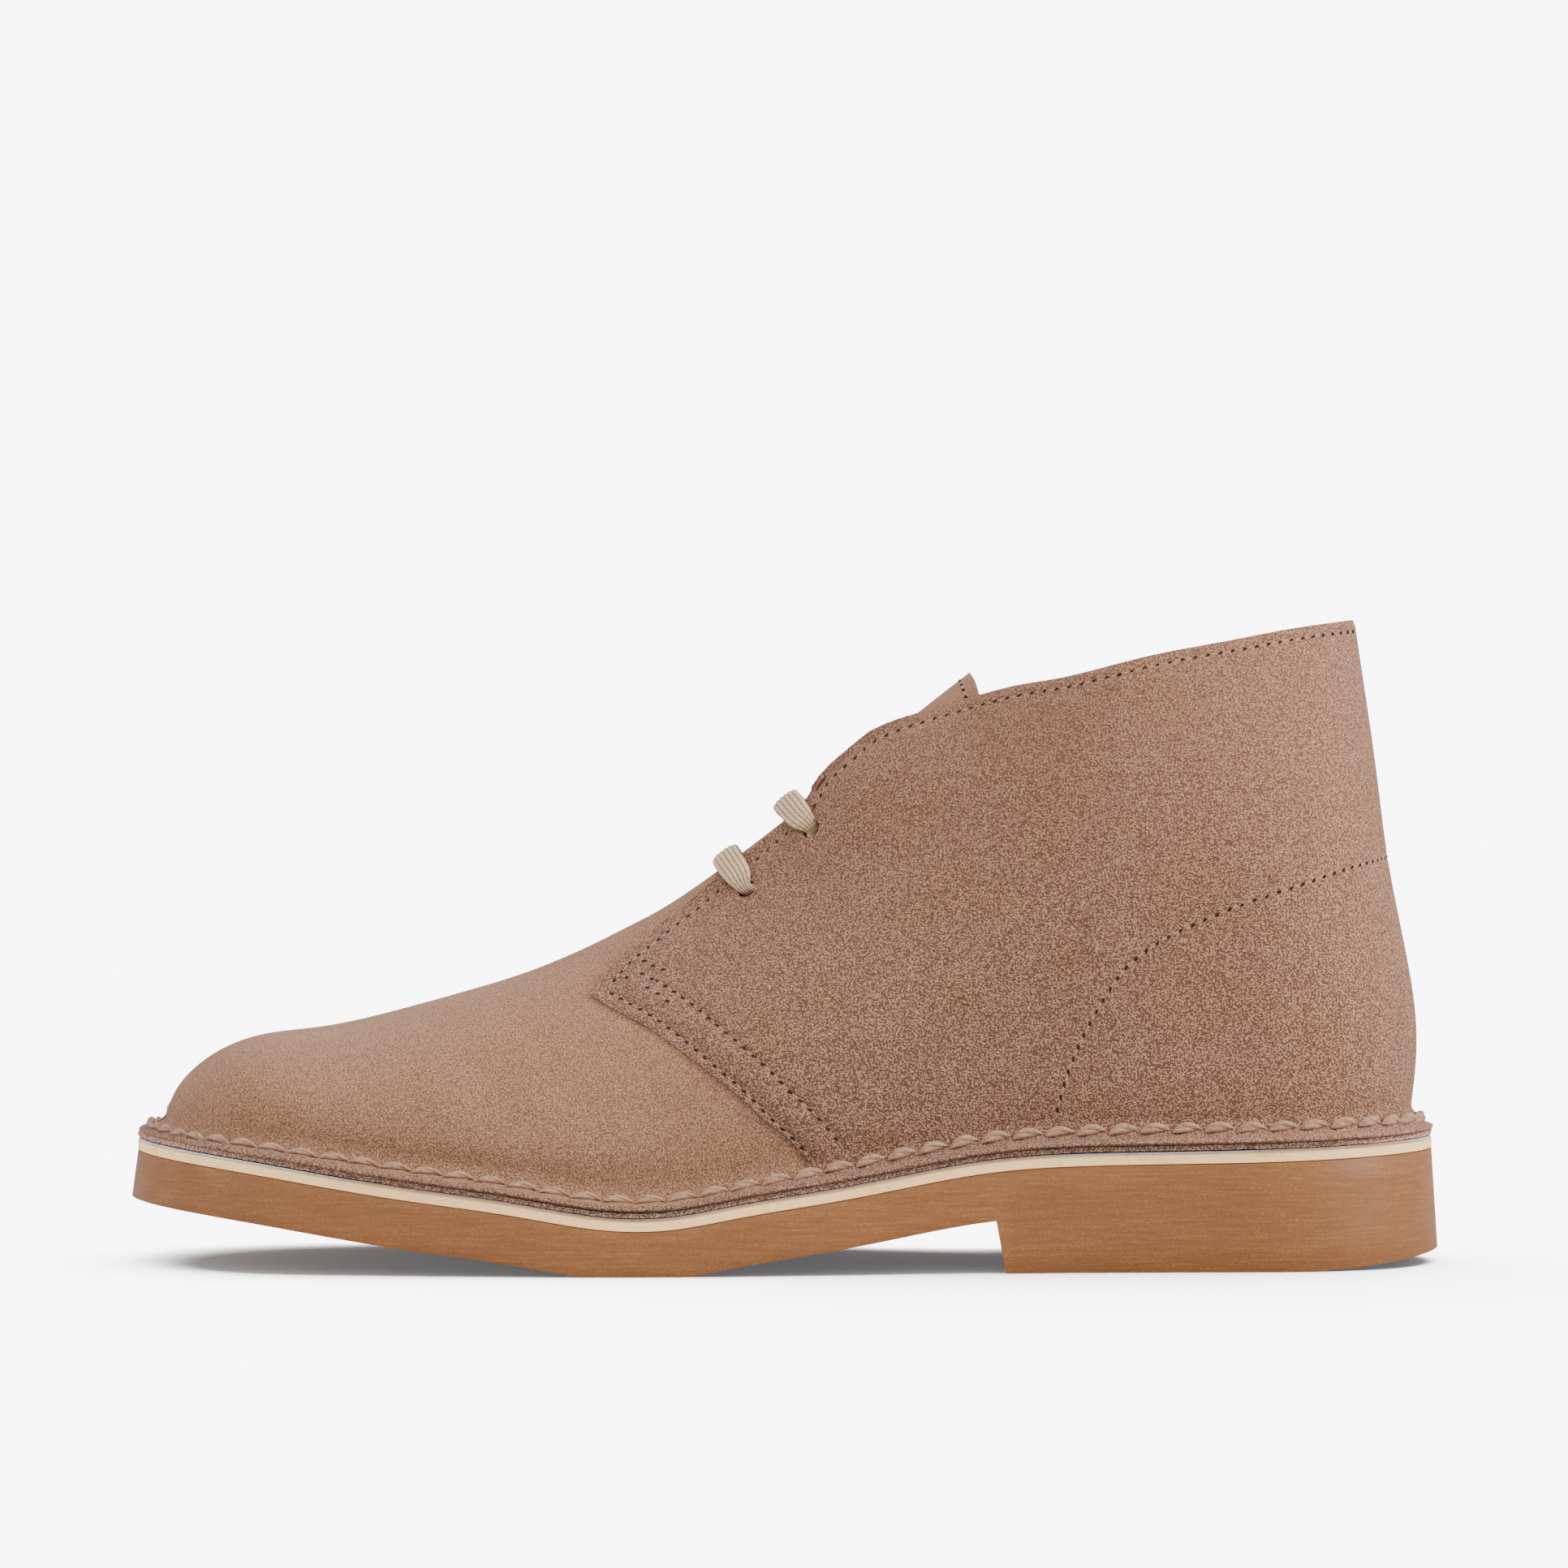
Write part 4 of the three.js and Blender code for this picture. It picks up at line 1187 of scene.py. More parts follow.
    def flange_rows(self, wall: np.ndarray, out: np.ndarray, start: float, shrink: np.ndarray) -> np.ndarray:
        """Turns the foot of a wall out over the sole.

        Args:
            wall: The lowest points of the wall.
            out: The level outward direction at each.
            start: How far the wall stands out from the lasted form.
            shrink: 1 where the edge is turned out fully, 0 where it isn't.

        Returns:
            Rows of points from the edge's underside up to the wall, without the wall's own row.
        """
        last = self.last
        base = last.flange_base(wall[:, 0])
        thick = self.flange_thickness
        width = self.flange_width
        profile = (
            (width - 3.0 * MM, 0.0),
            (width - 0.7 * MM, 0.0),
            (width - 0.15 * MM, 0.12 * MM),
            (width + 0.05 * MM, 0.45 * MM),
            (width - 0.1 * MM, 0.8 * MM),
            (width - 0.5 * MM, thick - 0.35 * MM),
            (width - 1.3 * MM, thick),
            (width - 2.3 * MM, thick + 0.4 * MM),
            (blend(start, width, 0.42), thick + 0.75 * MM),
            (blend(start, width, 0.26), thick + 1.15 * MM),
            (blend(start, width, 0.12), thick + 1.75 * MM),
            (blend(start, width, 0.04), thick + 2.8 * MM),
        )
        rows = []
        for distance, height in profile:
            reach = (distance - start) * shrink
            rise = np.where(shrink < 1, height * (0.35 + 0.65 * shrink), height)
            point = wall + out * reach[:, None]
            point[:, 2] = base + rise
            rows.append(point)
        points = np.stack(rows)
        dips = self.dips(points[9]) * shrink
        points[7:11, :, 2] -= np.array([0.25, 0.5, 0.5, 0.25])[:, None] * MM * dips[None]
        return points

    def dips(self, points: np.ndarray) -> np.ndarray:
        """How deep the turned-out edge is pulled in by the thick stitches, 0 to 1, along a row."""
        depth = np.zeros(len(points))
        for side in (0, 1):
            line, run, count = self.stitch_line(side)
            mine = (points[:, 1] < self.last.shift_y) == (side == 0)
            phase = np.interp(points[:, 0], line[:, 0], run) * count
            depth = np.where(mine, np.abs(np.cos(phase * math.pi)) ** 6, depth)
        return depth

    def stitch_line(self, side: int) -> tuple[np.ndarray, np.ndarray, int]:
        """The line of the thick stitches on one side.

        Args:
            side: 0 for the outer and 1 for the inner side.

        Returns:
            Its points from toe to heel, the share of its length at each, and the count of stitches.
        """
        line = self.last.outline(400, self.stitch_out)[side]
        run = run_along(line)
        return line, run / run[-1], round(run[-1] / self.stitch_pitch)

    def build_quarters(self, columns: int = 170, rows: int = 96) -> bpy.types.Object:
        """Makes the sheet of the two quarters, from one front seam round the heel to the other."""
        last = self.last
        eased = spread(self.column_knots)
        raised = spread(self.row_knots)
        top = polyline(self.side_view(self.top_line), columns, eased)
        seam = polyline(self.side_view(self.seam_line), rows, raised)
        foot_x = blend(seam[0, 0], float(last.curves["back_x"](np.array(40 * MM))), eased(np.linspace(0, 1, columns)))
        foot_z = last.flange_base(foot_x) + self.wall_start
        foot = np.stack([foot_x, foot_z], axis=1)
        foot[:, 0] += (last.curves["back_x"](foot_z[-1]) + self.step - foot[-1, 0]) * np.linspace(0, 1, columns) ** 3
        level = raised(np.linspace(0, 1, rows))
        seam[:, 1] += (foot[0, 1] - seam[0, 1]) * (1 - level) ** 2
        seam[-1] = top[0]
        back_z = blend(foot[-1, 1], top[-1, 1], level)
        back = np.stack([last.curves["back_x"](back_z) + self.step, back_z], axis=1)
        top[:, 0] += (back[-1, 0] - top[-1, 0]) * np.linspace(0, 1, columns) ** 6
        u = np.linspace(0, 1, columns)[None, :, None]
        u_share = eased(u)
        v = level[:, None, None]
        ruled = (1 - v) * foot[None] + v * top[None] + (1 - u_share) * seam[:, None] + u_share * back[:, None]
        corners = (
            (1 - u_share) * (1 - v) * foot[0]
            + u_share * (1 - v) * foot[-1]
            + (1 - u_share) * v * top[0]
            + u_share * v * top[-1]
        )
        places = ruled - corners
        relief = self.relief(places)
        relief = np.concatenate([relief, relief[:, ::-1][:, 1:]], axis=1)
        aims = [places.copy(), places.copy()]
        front = reach_to(places, polyline(self.side_view(self.seam_line), 400))
        front = np.concatenate([front, front[:, ::-1][:, 1:]], axis=1)
        skived = self.skive_depth * (1 - smooth(0, self.skive_width, front))
        for _ in range(6):
            for aim in aims:
                aim[...] = places + np.clip(aim - places, -5 * MM, 5 * MM)
                aim[..., 0] = np.minimum(aim[..., 0], last.curves["back_x"](aim[..., 1]))
                aim[..., 1] = np.minimum(aim[..., 1], last.curves["ridge_z"](aim[..., 0]) - self.ridge_gap)
            outer = last.surface(aims[0][..., 0], aims[0][..., 1], OUTER)
            inner = last.surface(aims[1][..., 0], aims[1][..., 1], INNER)[:, ::-1]
            points = np.concatenate([outer, inner[:, 1:]], axis=1)
            lift = self.step - skived + self.flare(points[..., 0], points[..., 2])
            moved = points + flow(points) * lift[..., None]
            halves = (moved[:, :columns], moved[:, columns - 1 :][:, ::-1])
            for aim, half in zip(aims, halves):
                aim += 0.6 * (places - half[..., [0, 2]])
        places = np.concatenate([places, places[:, ::-1][:, 1:]], axis=1)
        points = np.stack([places[..., 0], moved[..., 1], places[..., 1]], axis=-1)
        points = self.held_apart(points)
        points = points + flow(points) * relief[..., None]
        flange = self.flange_rows(points[0], outward(points[0]), self.step, np.ones(points.shape[1]))
        piece = sheet("quarters", np.concatenate([flange, points]))
        self.thin_edge(piece, len(flange), points.shape[1])
        merge(piece)
        return piece

    def held_apart(self, points: np.ndarray) -> np.ndarray:
        """Keeps the facings clear of the middle by half the gap between them."""
        last = self.last
        share = (points[..., 0] - last.toe) / last.foot_length
        weight = 1 - smooth(0.6, 0.68, share)
        middle = last.middle(points[..., 0], points[..., 2])
        side = np.where(np.arange(points.shape[1]) < points.shape[1] / 2, OUTER, INNER)[None]
        half = (points[..., 1] - middle) * side
        least = self.throat_half(points[..., 0]) * weight * 0.92
        half = (half + least + np.sqrt((half - least) ** 2 + (1.5 * MM * weight) ** 2)) / 2
        points[..., 1] = middle + side * half
        return points

    def thin_edge(self, piece: bpy.types.Object, rows: int, columns: int, thin: int | None = None) -> None:
        """Notes which points of a sheet are its wall and not its turned-out edge.

        Args:
            piece: The sheet, before its doubles are merged.
            rows: How many rows of points the edge has.
            columns: How many points a row has.
            thin: How many columns at the toe stay thin, where the sheet's last rows are an edge too.
        """
        group = piece.vertex_groups.new(name="wall")
        low = rows * columns
        high = len(piece.data.vertices) - (0 if thin is None else low)
        group.add([v for v in range(low, high) if v % columns >= (thin or 0)], 1.0, "REPLACE")

    def build_vamp(self, columns: int = 230, arc: int = 56) -> bpy.types.Object:
        """Makes the vamp and, in one with it, the tongue."""
        last = self.last
        toe = last.toe
        s = np.linspace(0, 1, columns)
        front_share = self.front_share
        hidden_share = self.hidden_share
        f = np.clip(s / front_share, 0, 1)
        eased = f**2 * (1 - 0.35 * f) / 0.65
        throat_x = float(last.along(self.throat_place))
        foot_end = float(self.side_view(self.seam_line)[0, 0]) + self.overlap
        climb = np.clip((s - front_share) / (hidden_share - front_share), 0, 1)
        tongue = np.clip((s - hidden_share) / (1 - hidden_share), 0, 1)
        tip_x = float(last.along(self.tip_place))
        base_x = blend(toe, foot_end, eased)
        base_z = last.flange_base(base_x) + self.wall_start
        start = np.array([[base_x[-1], base_z[-1]]])
        hidden = polyline(np.concatenate([start, self.side_view(self.hidden_line)]), WALK_STEPS)
        walked = np.clip((s - front_share) / (1 - front_share), 0, 1)
        late = pick(walked, np.linspace(0, 1, WALK_STEPS), hidden)
        is_late = s > front_share
        base_x = np.where(is_late, late[:, 0], base_x)
        base_z = np.where(is_late, late[:, 1], base_z)
        top_x = np.where(
            s <= hidden_share,
            blend(toe, throat_x, np.clip(blend(eased, f, 0.15), 0, 1)) + climb * self.throat_step,
            blend(throat_x + self.throat_step, tip_x, tongue),
        )
        top_z = last.curves["ridge_z"](top_x)
        angle = np.linspace(0, 1, arc + 1)
        t = (1 - np.cos(angle * np.pi * 0.5)) ** 1.25
        x = blend(top_x[None], base_x[None], t[:, None])
        z = blend(top_z[None], base_z[None], t[:, None])
        outer = last.surface(x, z, OUTER)
        inner = last.surface(x, z, INNER)
        points = np.concatenate([outer[::-1], inner[1:]], axis=0)
        normal = flow(points)
        normal[:, 0] = (-1, 0, 0)
        side = np.abs(points[..., 1] - last.middle(points[..., 0], points[..., 2]))
        half = self.throat_half(points[..., 0])
        behind = smooth(float(last.along(0.36)), float(last.along(0.41)), points[..., 0])
        under = smooth(-4 * MM, 3 * MM, side - half)
        seam = polyline(self.side_view(self.seam_line), 200)[::-1]
        over_seam = points[..., 2] - np.interp(points[..., 0], seam[:, 0], seam[:, 1])
        behind = behind * smooth(3 * MM, 12 * MM, over_seam)
        drop = behind * (self.tongue_drop + self.lace_room * under) + 0.15 * MM
        drop = drop + self.soft_folds(points[..., [0, 2]])
        points = points - normal * drop[..., None]
        shrink = 1 - smooth(foot_end - 7 * MM, foot_end - 2 * MM, np.where(is_late, foot_end, base_x))
        rows = []
        for row, sign in ((points[0], 1.0), (points[-1], -1.0)):
            out = sign * outward(row)
            out[0] = (-1, 0, 0)
            flange = self.flange_rows(row, out, 0.0, shrink)
            flange[:, is_late] = row[None, is_late]
            rows.append(flange)
        full = np.concatenate([rows[0], points, rows[1][::-1]])
        end = np.linalg.norm(points[arc] - points[arc, -1], axis=1)
        column = int(np.argmin(np.abs(end - self.edge_inset)))
        self.tongue_row = points[arc // 4 : -(arc // 4), column]
        piece = sheet("vamp_with_tongue", full)
        self.thin_edge(piece, len(rows[0]), columns, self.toe_columns)
        merge(piece)
        return piece

    def wall(self, piece: bpy.types.Object, finishes: list[bpy.types.Material]) -> None:
        """Gives a sheet its thickness, its lining side and its cut edge."""
        piece.data.materials.clear()
        for finish in finishes:
            piece.data.materials.append(finish)
        apply(
            piece, "SOLIDIFY", thickness=self.leather, offset=-1, use_rim=True, use_even_offset=False,
            material_offset=1, material_offset_rim=2, vertex_group="wall", thickness_vertex_group=self.flange_share,
        )
        base = self.last.flange_base
        for face in piece.data.polygons:
            over = face.center.z - float(base(face.center.x))
            if face.material_index == 0 and over < self.edge_height:
                face.material_index = 2
            elif face.material_index == 1 and over < self.foot_height:
                face.material_index = 0
        cut = {v for face in piece.data.polygons if face.material_index == 2 for v in face.vertices}
        for _ in range(2):
            ring = [face for face in piece.data.polygons if face.material_index == 1 and cut & set(face.vertices)]
            for face in ring:
                face.material_index = 2
                cut.update(face.vertices)

    def punch(self, piece: bpy.types.Object, centres: list[Place]) -> None:
        """Cuts the eyelets through a sheet."""
        for k, (centre, normal) in enumerate(centres):
            deselect()
            bpy.ops.mesh.primitive_cylinder_add(radius=self.eyelet_radius, depth=9 * MM, vertices=28)
            cutter = bpy.context.object
            cutter.rotation_mode = "QUATERNION"
            cutter.rotation_quaternion = normal.to_track_quat("Z", "Y")
            cutter.location = centre
            bpy.context.view_layer.update()
            apply(piece, "BOOLEAN", object=cutter, operation="DIFFERENCE", solver="FAST")
            bpy.data.objects.remove(cutter)
            LOG.info("eyelet %d punched", k)


@dataclass
class Lace:
    """One flat lace through the four eyelets, its ends hidden under the far facing."""

    upper: Upper
    width: float = 6.9 * MM
    narrow: float = 3.3 * MM
    thickness: float = 2.3 * MM
    ribs: int = 6
    clear: float = 0.3 * MM
    crossings: tuple[float, float] = (0.4526, 0.504)
    under: float = -1.35 * MM
    station: float = 0.45 * MM
    climb: Rows = ((0.12, 0.7), (0.32, 0.95), (0.58, 1.0))

    def over(self, k: int, side: float, share: float) -> Place:
        """A place where a bar lies on the facing, a share of the way to the middle."""
        last = self.upper.last
        eyelet = self.upper.side_view(self.upper.eyelets)[k]
        cross_x = float(last.along(self.crossings[k]))
        rise = 1 - (1 - share) ** 2
        x = blend(eyelet[0], cross_x, rise)
        z = blend(eyelet[1], float(last.curves["ridge_z"](cross_x)), rise)
        lift = self.upper.step + float(self.upper.flare(np.array(x), np.array(z)))
        return last.skin(x, z, side, lift + self.clear + self.thickness / 2)

    def centre(self, k: int) -> Place:
        """The place where a bar crosses the middle of the tongue."""
        last = self.upper.last
        x = float(last.along(self.crossings[k]))
        z = float(last.curves["ridge_z"](x))
        slope = float(last.curves["ridge_z"](x + MM) - last.curves["ridge_z"](x - MM)) / (2 * MM)
        up = Vector((-slope, 0, 1)).normalized()
        place = Vector((x, float(last.middle(x, z)), z))
        return place + up * (self.clear + self.thickness / 2 - self.upper.tongue_drop), up

    def beneath(self, side: float, share: float, behind: float = 0.0) -> Place:
        """A place under a facing, a share of the way from the lower to the upper eyelet."""
        low, high = self.upper.side_view(self.upper.eyelets)
        x, z = blend(low, high, share)
        x += behind
        place, normal = self.upper.last.skin(x, z, side, self.under)
        return place, -normal

    def hole(self, k: int, side: float) -> Place:
        """The place where the lace goes through an eyelet, at the side of it that is nearer the middle."""
        last = self.upper.last
        x, z = self.upper.side_view(self.upper.eyelets)[k]
        place, _ = last.skin(x, z, side, self.upper.step - self.upper.leather / 2)
        toward = (self.over(k, side, 0.3)[0] - self.over(k, side, 0.0)[0]).normalized()
        return place + toward * 0.9 * MM, -toward

    def eyelets(self) -> list[Place]:
        """The centres of the four eyelets and the directions that they look in."""
        found = []
        for x, z in self.upper.side_view(self.upper.eyelets):
            found += [self.upper.last.skin(x, z, side, self.upper.step / 2) for side in (OUTER, INNER)]
        return found

    def bar(self, k: int, first: float) -> list[tuple[Vector, Vector, float]]:
        """The rests of one bar from a side to the other, each with the share of the full width."""
        rests = [(*self.hole(k, first), 0.0)]
        rests += [(*self.over(k, first, share), full) for share, full in self.climb]
        rests.append((*self.centre(k), 1.0))
        rests += [(*self.over(k, -first, share), full) for share, full in reversed(self.climb)]
        rests.append((*self.hole(k, -first), 0.0))
        return rests

    def build(self, finish: bpy.types.Material) -> bpy.types.Object:
        """Makes the lace."""
        rests = [(*self.beneath(INNER, share), 1.0) for share in (0.75, 0.5, 0.2)]
        rests += self.bar(0, INNER)
        rests += [(*self.beneath(OUTER, share), 1.0) for share in (0.2, 0.5, 0.8)]
        rests += self.bar(1, OUTER)
        rests += [(*self.beneath(INNER, 1.0, behind), 1.0) for behind in (5 * MM, 10 * MM)]
        knots = np.array([[*place, *up, share] for place, up, share in rests])
        chord = eased_chord(knots[:, :3])
        fine = np.linspace(0, chord[-1], 4000)
        dense = splines(chord, knots[:, :3], fine)
        run = run_along(dense)
        wanted = np.linspace(0, run[-1], int(run[-1] / self.station))
        centre = pick(wanted, run, dense)
        extra = pick(wanted, run, pick(fine, chord, knots[:, 3:]))
        ahead = np.gradient(centre, axis=0)
        ahead /= np.linalg.norm(ahead, axis=1, keepdims=True)
        up = extra[:, :3] - ahead * (extra[:, :3] * ahead).sum(axis=1, keepdims=True)
        for _ in range(3):
            up[1:-1] = (up[:-2] + 2 * up[1:-1] + up[2:]) / 4
        up /= np.linalg.norm(up, axis=1, keepdims=True)
        across = np.cross(ahead, up)
        share = smooth(0, 1, extra[:, 3])
        wide = blend(self.narrow, self.width, share) / 2
        wide *= np.minimum(1, np.minimum(wanted, wanted[-1] - wanted) / MM + 0.02)
        ring = -np.linspace(0, 2 * np.pi, 73)
        flat = np.sign(np.cos(ring)) * np.abs(np.cos(ring)) ** 0.9
        thick = np.sign(np.sin(ring)) * np.abs(np.sin(ring)) ** 0.85
        rib = 1 + 0.34 * (np.abs(np.sin((flat + 1) / 2 * np.pi * self.ribs)) - 0.6)
        high = self.thickness / 2 * blend(0.65, 1.0, share)
        table = (
            centre[None]
            + across[None] * (flat[:, None] * wide[None])[..., None]
            + up[None] * ((thick * rib)[:, None] * high[None])[..., None]
        )
        table[-1] = table[0]
        piece = sheet("lace", table)
        layer = piece.data.uv_layers.active or piece.data.uv_layers.new(name="UVMap")
        corners = np.empty(len(piece.data.loops), int)
        piece.data.loops.foreach_get("vertex_index", corners)
        columns = len(wanted)
        uv = np.stack([wanted[corners % columns], ((flat + 1) / 2)[corners // columns]], axis=1)
        layer.data.foreach_set("uv", uv.reshape(-1).astype(np.float32))
        merge(piece)
        piece.data.materials.append(finish)
        LOG.info("lace: %.1f mm long", run[-1] / MM)
        return piece


@dataclass
class Stitching:
    """Fine thread along the seams, and the thick stitches round the sole."""

    upper: Upper
    fine_pitch: float = 2.95 * MM
    fine_size: Triple = (2.0 * MM, 0.5 * MM, 0.5 * MM)
    fine_sink: float = 0.16 * MM
    hole_size: Triple = (1.2 * MM, 0.75 * MM, 0.22 * MM)
    hole_sink: float = 0.02 * MM
    hole_slant: float = math.radians(24)
    thick_size: Triple = (6.9 * MM, 2.3 * MM, 1.25 * MM)
    thick_turns: float = 0.35
    thick_slant: float = 0.1
    thick_wobble: float = 0.12
    thick_lift: float = 0.4 * MM
    over_edge: float = 1.6 * MM

    def fine_places(self, quarters: bpy.types.Object, vamp: bpy.types.Object) -> list[Matrix]:
        """Frames of every fine stitch."""
        skin = Skin.over(quarters)
        frames: list[Matrix] = []
        for side in (OUTER, INNER):
            for line in self.upper.rows_of_stitches().values():
                found = skin.from_side(line, side)
                if len(found) > 8:
                    frames += walk(found, self.fine_pitch)
        frames += walk(Skin.over(vamp).nearest(self.upper.tongue_row), self.fine_pitch)
        return frames

    def build_fine(self, frames: list[Matrix], thread: bpy.types.Material, hole: bpy.types.Material) -> list:
        """Makes the fine stitches and, between them, dark beads that paint the shade of the needle holes."""
        sunk = [frame @ Matrix.Translation((0, 0, -self.fine_sink)) for frame in frames]
        stitches = repeat(bead(*self.fine_size), "fine_stitches", sunk)
        slant = Matrix.Rotation(self.hole_slant, 4, "Z")
        ends = [frame @ Matrix.Translation((self.fine_pitch / 2, 0, -self.hole_sink)) @ slant for frame in frames]
        # Painted shade: the holes are not cut; dark beads stand for the shade inside them.
        holes = repeat(bead(*self.hole_size), "needle_holes", ends)
        stitches.data.materials.append(thread)
        holes.data.materials.append(hole)
        return [stitches, holes]

    def build_thick(self, quarters: bpy.types.Object, vamp: bpy.types.Object, thread: bpy.types.Material):
        """Makes the thick stitches that hold the turned-out edge down."""
        last = self.upper.last
        skin = Skin.over(quarters, vamp)
        frames: list[Matrix] = []
        for side in (0, 1):
            line, _, count = self.upper.stitch_line(side)
            height = last.flange_base(line[:, 0]) + self.upper.flange_thickness + self.over_edge
            found = skin.nearest(np.c_[line, height])
            for frame in walk(found, run_length(found) / count):
                wobble = noise.noise(frame.translation / (2.3 * MM))
                turn = Matrix.Rotation(self.thick_slant + self.thick_wobble * wobble, 4, "Z")
                share = (frame.translation.x - last.toe) / last.foot_length
                full = blend(0.8, 1.1, float(smooth(0.3, 0.6, share))) * (1 + 0.1 * wobble)
                raised = Matrix.Translation((0, 0, self.thick_lift * full))
                frames.append(frame @ raised @ turn @ Matrix.Diagonal((1, full, full, 1)))
        piece = repeat(cord(2, *self.thick_size, self.thick_turns), "sole_stitches", frames)
        piece.data.materials.append(thread)
        return piece


def run_length(found: list[Place]) -> float:
    """The length of a line of places."""
    points = np.array([place for place, _ in found])
    return float(np.linalg.norm(np.diff(points, axis=0), axis=1).sum())


def centred_last() -> Last:
    """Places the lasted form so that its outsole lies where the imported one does."""
    low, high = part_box("outsole")
    trial = Sole(Last())
    outer, inner = trial.last.outline(trial.steps, trial.flange_width + trial.flare)
    ends = (outer[:, 0].min() + outer[:, 0].max()) / 2
    sides = (outer[:, 1].min() + inner[:, 1].max()) / 2
    return Last(shift_x=(low[0] + high[0]) / 2 - ends, shift_y=(low[1] + high[1]) / 2 - sides)


def make_camera(height: float = 110.4 * MM, distance: float = 1.5, view: float = 364 * MM, sensor: float = 36) -> None:
    """Sets the camera square to the boot's outer side."""
    deselect()
    bpy.ops.object.camera_add(location=(0, -distance, height), rotation=(math.pi / 2, 0, 0))
    camera = bpy.context.object
    camera.data.sensor_width = sensor
    camera.data.lens = sensor * distance / view
    bpy.context.scene.camera = camera


@dataclass(frozen=True)
class Lamp:
    """A soft square light that shines on the boot alone."""

    name: str
    place: Triple
    size: float
    power: float


LAMPS = (
    Lamp("key", (-0.5, -1.3, 1.6), 1.2, 16),
    Lamp("left", (-1.5, -0.5, 0.8), 0.9, 7),
    Lamp("right", (1.5, -0.55, 0.9), 0.8, 36),
    Lamp("rim", (0.0, 1.0, 1.5), 1.2, 12),
)
LIT_POINT = Vector((0, 0, 0.05))


@dataclass(frozen=True)
class Levels:
    """Light levels of the pale room: what the camera sees differs from what falls on the boot."""

    floor_thrown: float = 0.11
    floor_seen: float = 0.92
    floor_glow: float = 0.12
    air_thrown: float = 0.85
    air_seen: float = 8.2
    wash_power: float = 27.2
    wash_spread: float = math.radians(85)
    wash_tilt: float = math.radians(-22)


def make_studio(levels: Levels = Levels()) -> None:
    """Sets the pale floor and the soft lights."""
    deselect()
    bpy.ops.mesh.primitive_grid_add(x_subdivisions=60, y_subdivisions=60, size=60)
    floor = bpy.context.object
    floor.name = "studio_floor"
    n = Nodes("studio_floor")
    seen = n.tree.nodes.new("ShaderNodeLightPath").outputs["Is Camera Ray"]
    paint = n.mix(seen, (*[levels.floor_thrown] * 3, 1), (*[levels.floor_seen] * 3, 1))
    n.put(n.shader, "Emission Color", (1, 1, 1, 1))
    n.put(n.shader, "Emission Strength", n.span(seen, 0, 1, 0, levels.floor_glow))
    floor.data.materials.append(n.finish(paint, 1.0, Specular_IOR_Level=0.0))
    world = bpy.data.worlds.new("studio")
    bpy.context.scene.world = world
    world.use_nodes = True
    nodes = world.node_tree.nodes
    seen = nodes.new("ShaderNodeLightPath").outputs["Is Camera Ray"]
    level = nodes.new("ShaderNodeMapRange")
    level.inputs["To Min"].default_value = levels.air_thrown
    level.inputs["To Max"].default_value = levels.air_seen
    world.node_tree.links.new(seen, level.inputs["Value"])
    world.node_tree.links.new(level.outputs[0], nodes["Background"].inputs["Strength"])
    nodes["Background"].inputs["Color"].default_value = (1, 1, 1, 1)
    only_floor = bpy.data.collections.new("lit_floor")
    only_floor.objects.link(floor)
    all_but_floor = bpy.data.collections.new("lit_boot")
    all_but_floor.objects.link(floor)
    all_but_floor.collection_objects[0].light_linking.link_state = "EXCLUDE"
    for lamp in LAMPS:
        deselect()
        bpy.ops.object.light_add(type="AREA", location=lamp.place)
        light = bpy.context.object
        light.name = lamp.name
        light.data.energy = lamp.power
        light.data.size = lamp.size
        light.rotation_euler = (LIT_POINT - Vector(lamp.place)).to_track_quat("-Z", "Y").to_euler()
        light.light_linking.receiver_collection = all_but_floor
    deselect()
    bpy.ops.object.light_add(type="SUN", location=(0, 0, 2))
    wash = bpy.context.object
    wash.name = "floor_wash"
    wash.data.energy = levels.wash_power
    wash.data.angle = levels.wash_spread
    wash.rotation_euler = (levels.wash_tilt, 0, 0)
    wash.light_linking.receiver_collection = only_floor


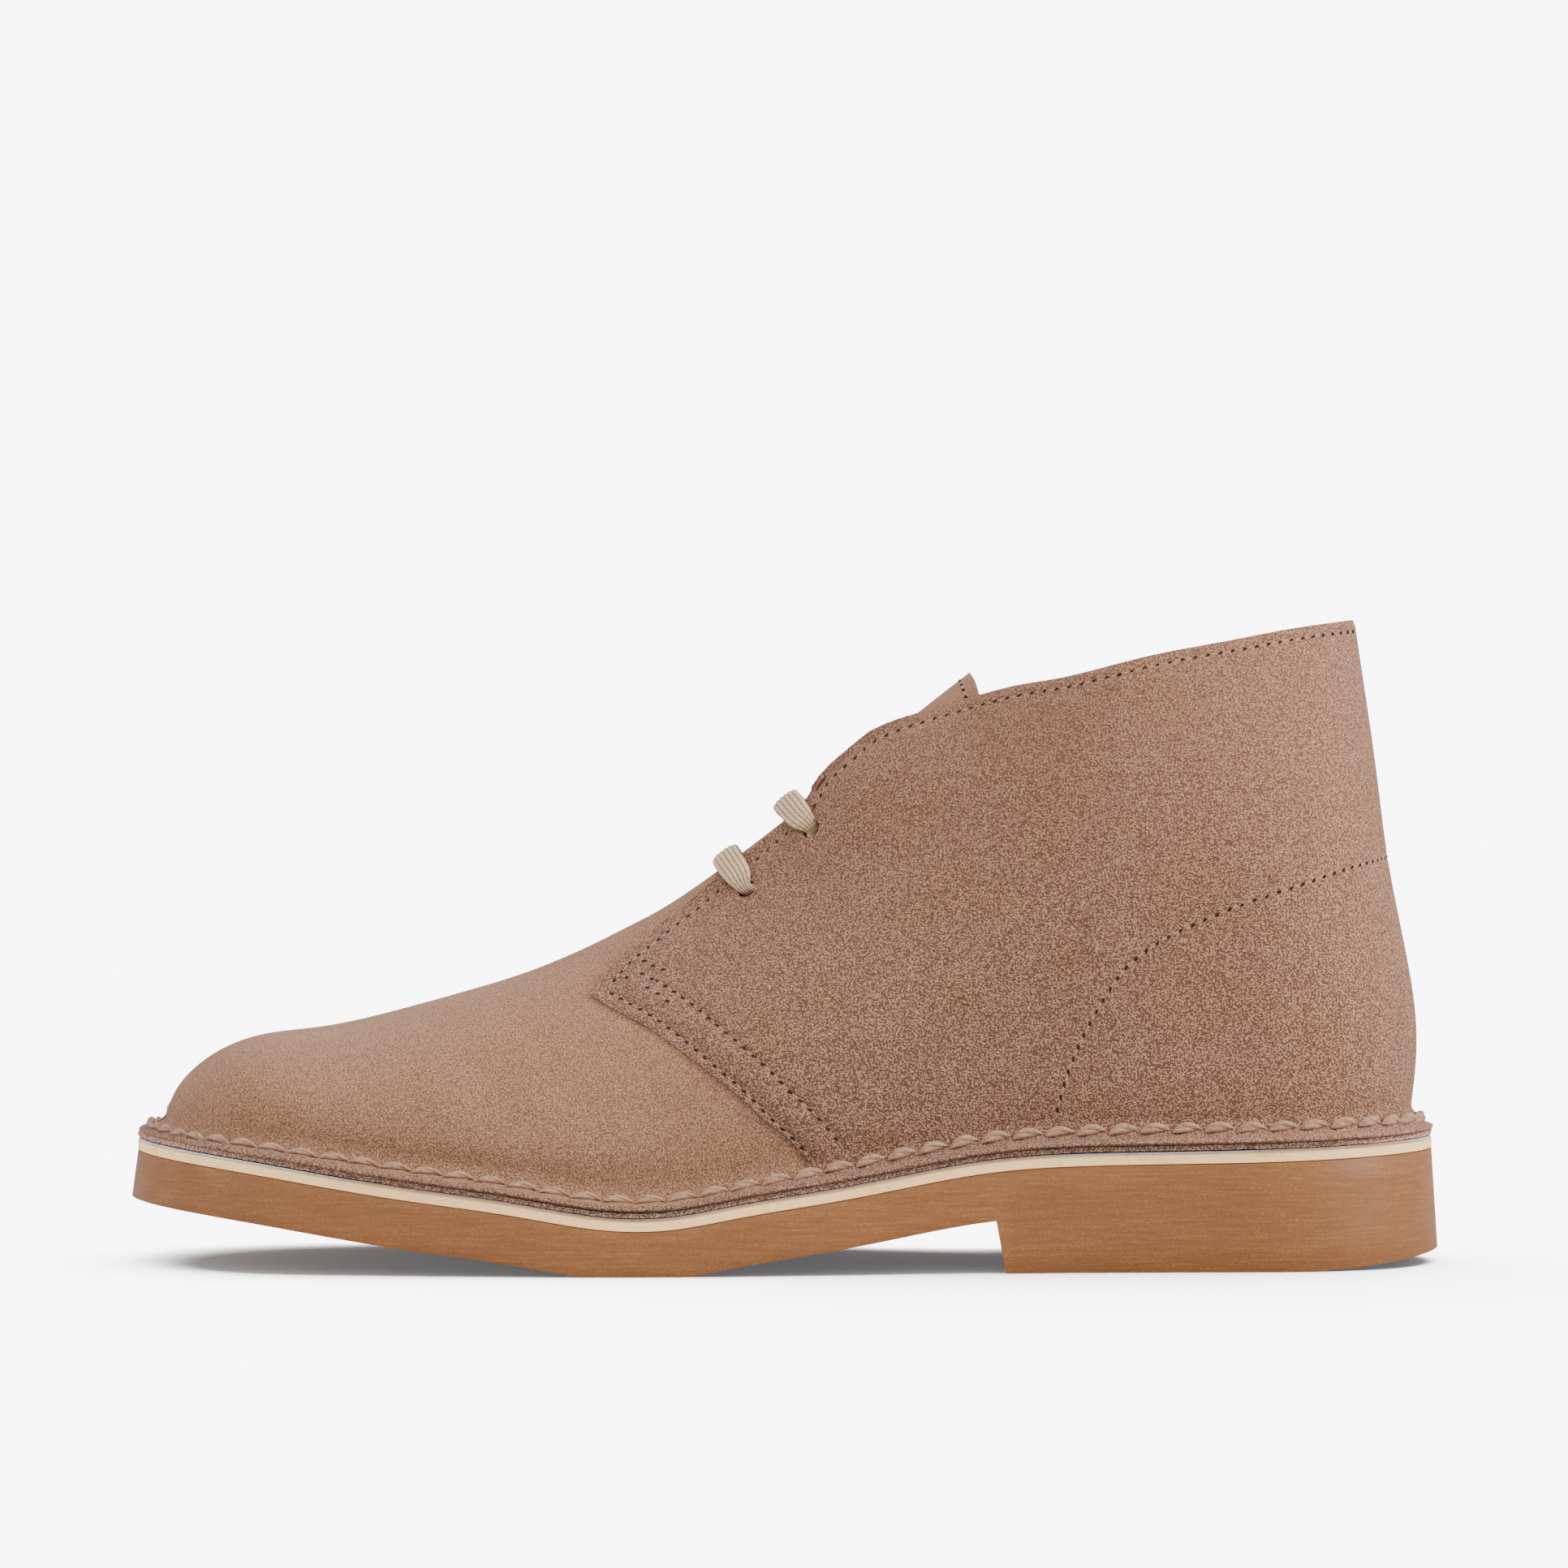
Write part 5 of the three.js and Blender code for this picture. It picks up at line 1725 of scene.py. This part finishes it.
def main() -> None:
    """Builds the boot piece by piece."""
    logging.basicConfig(level=logging.INFO, format="%(name)s %(message)s")
    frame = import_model()
    LOG.info("frame with %d nodes", len(frame["nodes"]))
    make_camera()
    make_studio()
    last = centred_last()
    sole = Sole(last)
    finishes = {
        # The midsole's edge glows at 0.5 as painted light.
        "midsole": Board("midsole_board", srgb(255, 212, 152), srgb(214, 164, 116), 0.6, 0.5).build(),
        "filler": Board("filler_sheet", srgb(206, 212, 222), srgb(120, 124, 134), 0.7).build(),
        "welt": Suede("welt_suede", srgb(176, 140, 120), Grain.COARSE, 1.5).build(),
        "vamp": Suede("vamp_suede", srgb(148, 112, 87), Grain.FINE, 1.3).build(),
        "quarter": Suede("quarter_suede", srgb(135, 101, 81), Grain.COARSE, 1.65).build(),
        "edge": Suede("raw_edge", srgb(136, 103, 84), Grain.COARSE, 1.2).build(),
        "lining": Lining().build(),
        "insole": Lining("insole_leather", srgb(188, 160, 136)).build(),
        "thread": Thread("fine_thread", srgb(178, 140, 116), 0.9 * MM).build(),
        "cord": Thread("sole_thread", srgb(176, 137, 113), 1.3 * MM).build(),
        # Painted shade of the needle holes.
        "hole": Shade().build(),
    }
    sole.build_outsole(GumRubber().build())
    sole.build_layers(finishes)
    sole.build_insole(finishes["insole"])
    upper = Upper(last)
    lace = Lace(upper)
    quarters = upper.build_quarters()
    upper.wall(quarters, [finishes["quarter"], finishes["lining"], finishes["edge"]])
    upper.punch(quarters, lace.eyelets())
    shade(quarters, 50)
    vamp = upper.build_vamp()
    upper.wall(vamp, [finishes["vamp"], finishes["lining"], finishes["edge"]])
    shade(vamp, 50)
    for piece, nodes in ((quarters, ("upper",)), (vamp, ("upper", "tongue"))):
        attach(piece, ROOT)
        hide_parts(*nodes)
        LOG.info("%s: %d faces", piece.name, len(piece.data.polygons))
    laced = lace.build(Braid().build())
    shade(laced, 60)
    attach(laced, ROOT)
    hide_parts("lace_bar_lower", "lace_bar_upper")
    stitching = Stitching(upper)
    frames = stitching.fine_places(quarters, vamp)
    small = stitching.build_fine(frames, finishes["thread"], finishes["hole"])
    small.append(stitching.build_thick(quarters, vamp, finishes["cord"]))
    for piece in small:
        shade(piece, 60)
        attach(piece, ROOT)
        LOG.info("%s: %d faces", piece.name, len(piece.data.polygons))


if __name__ == "__main__":
    main()
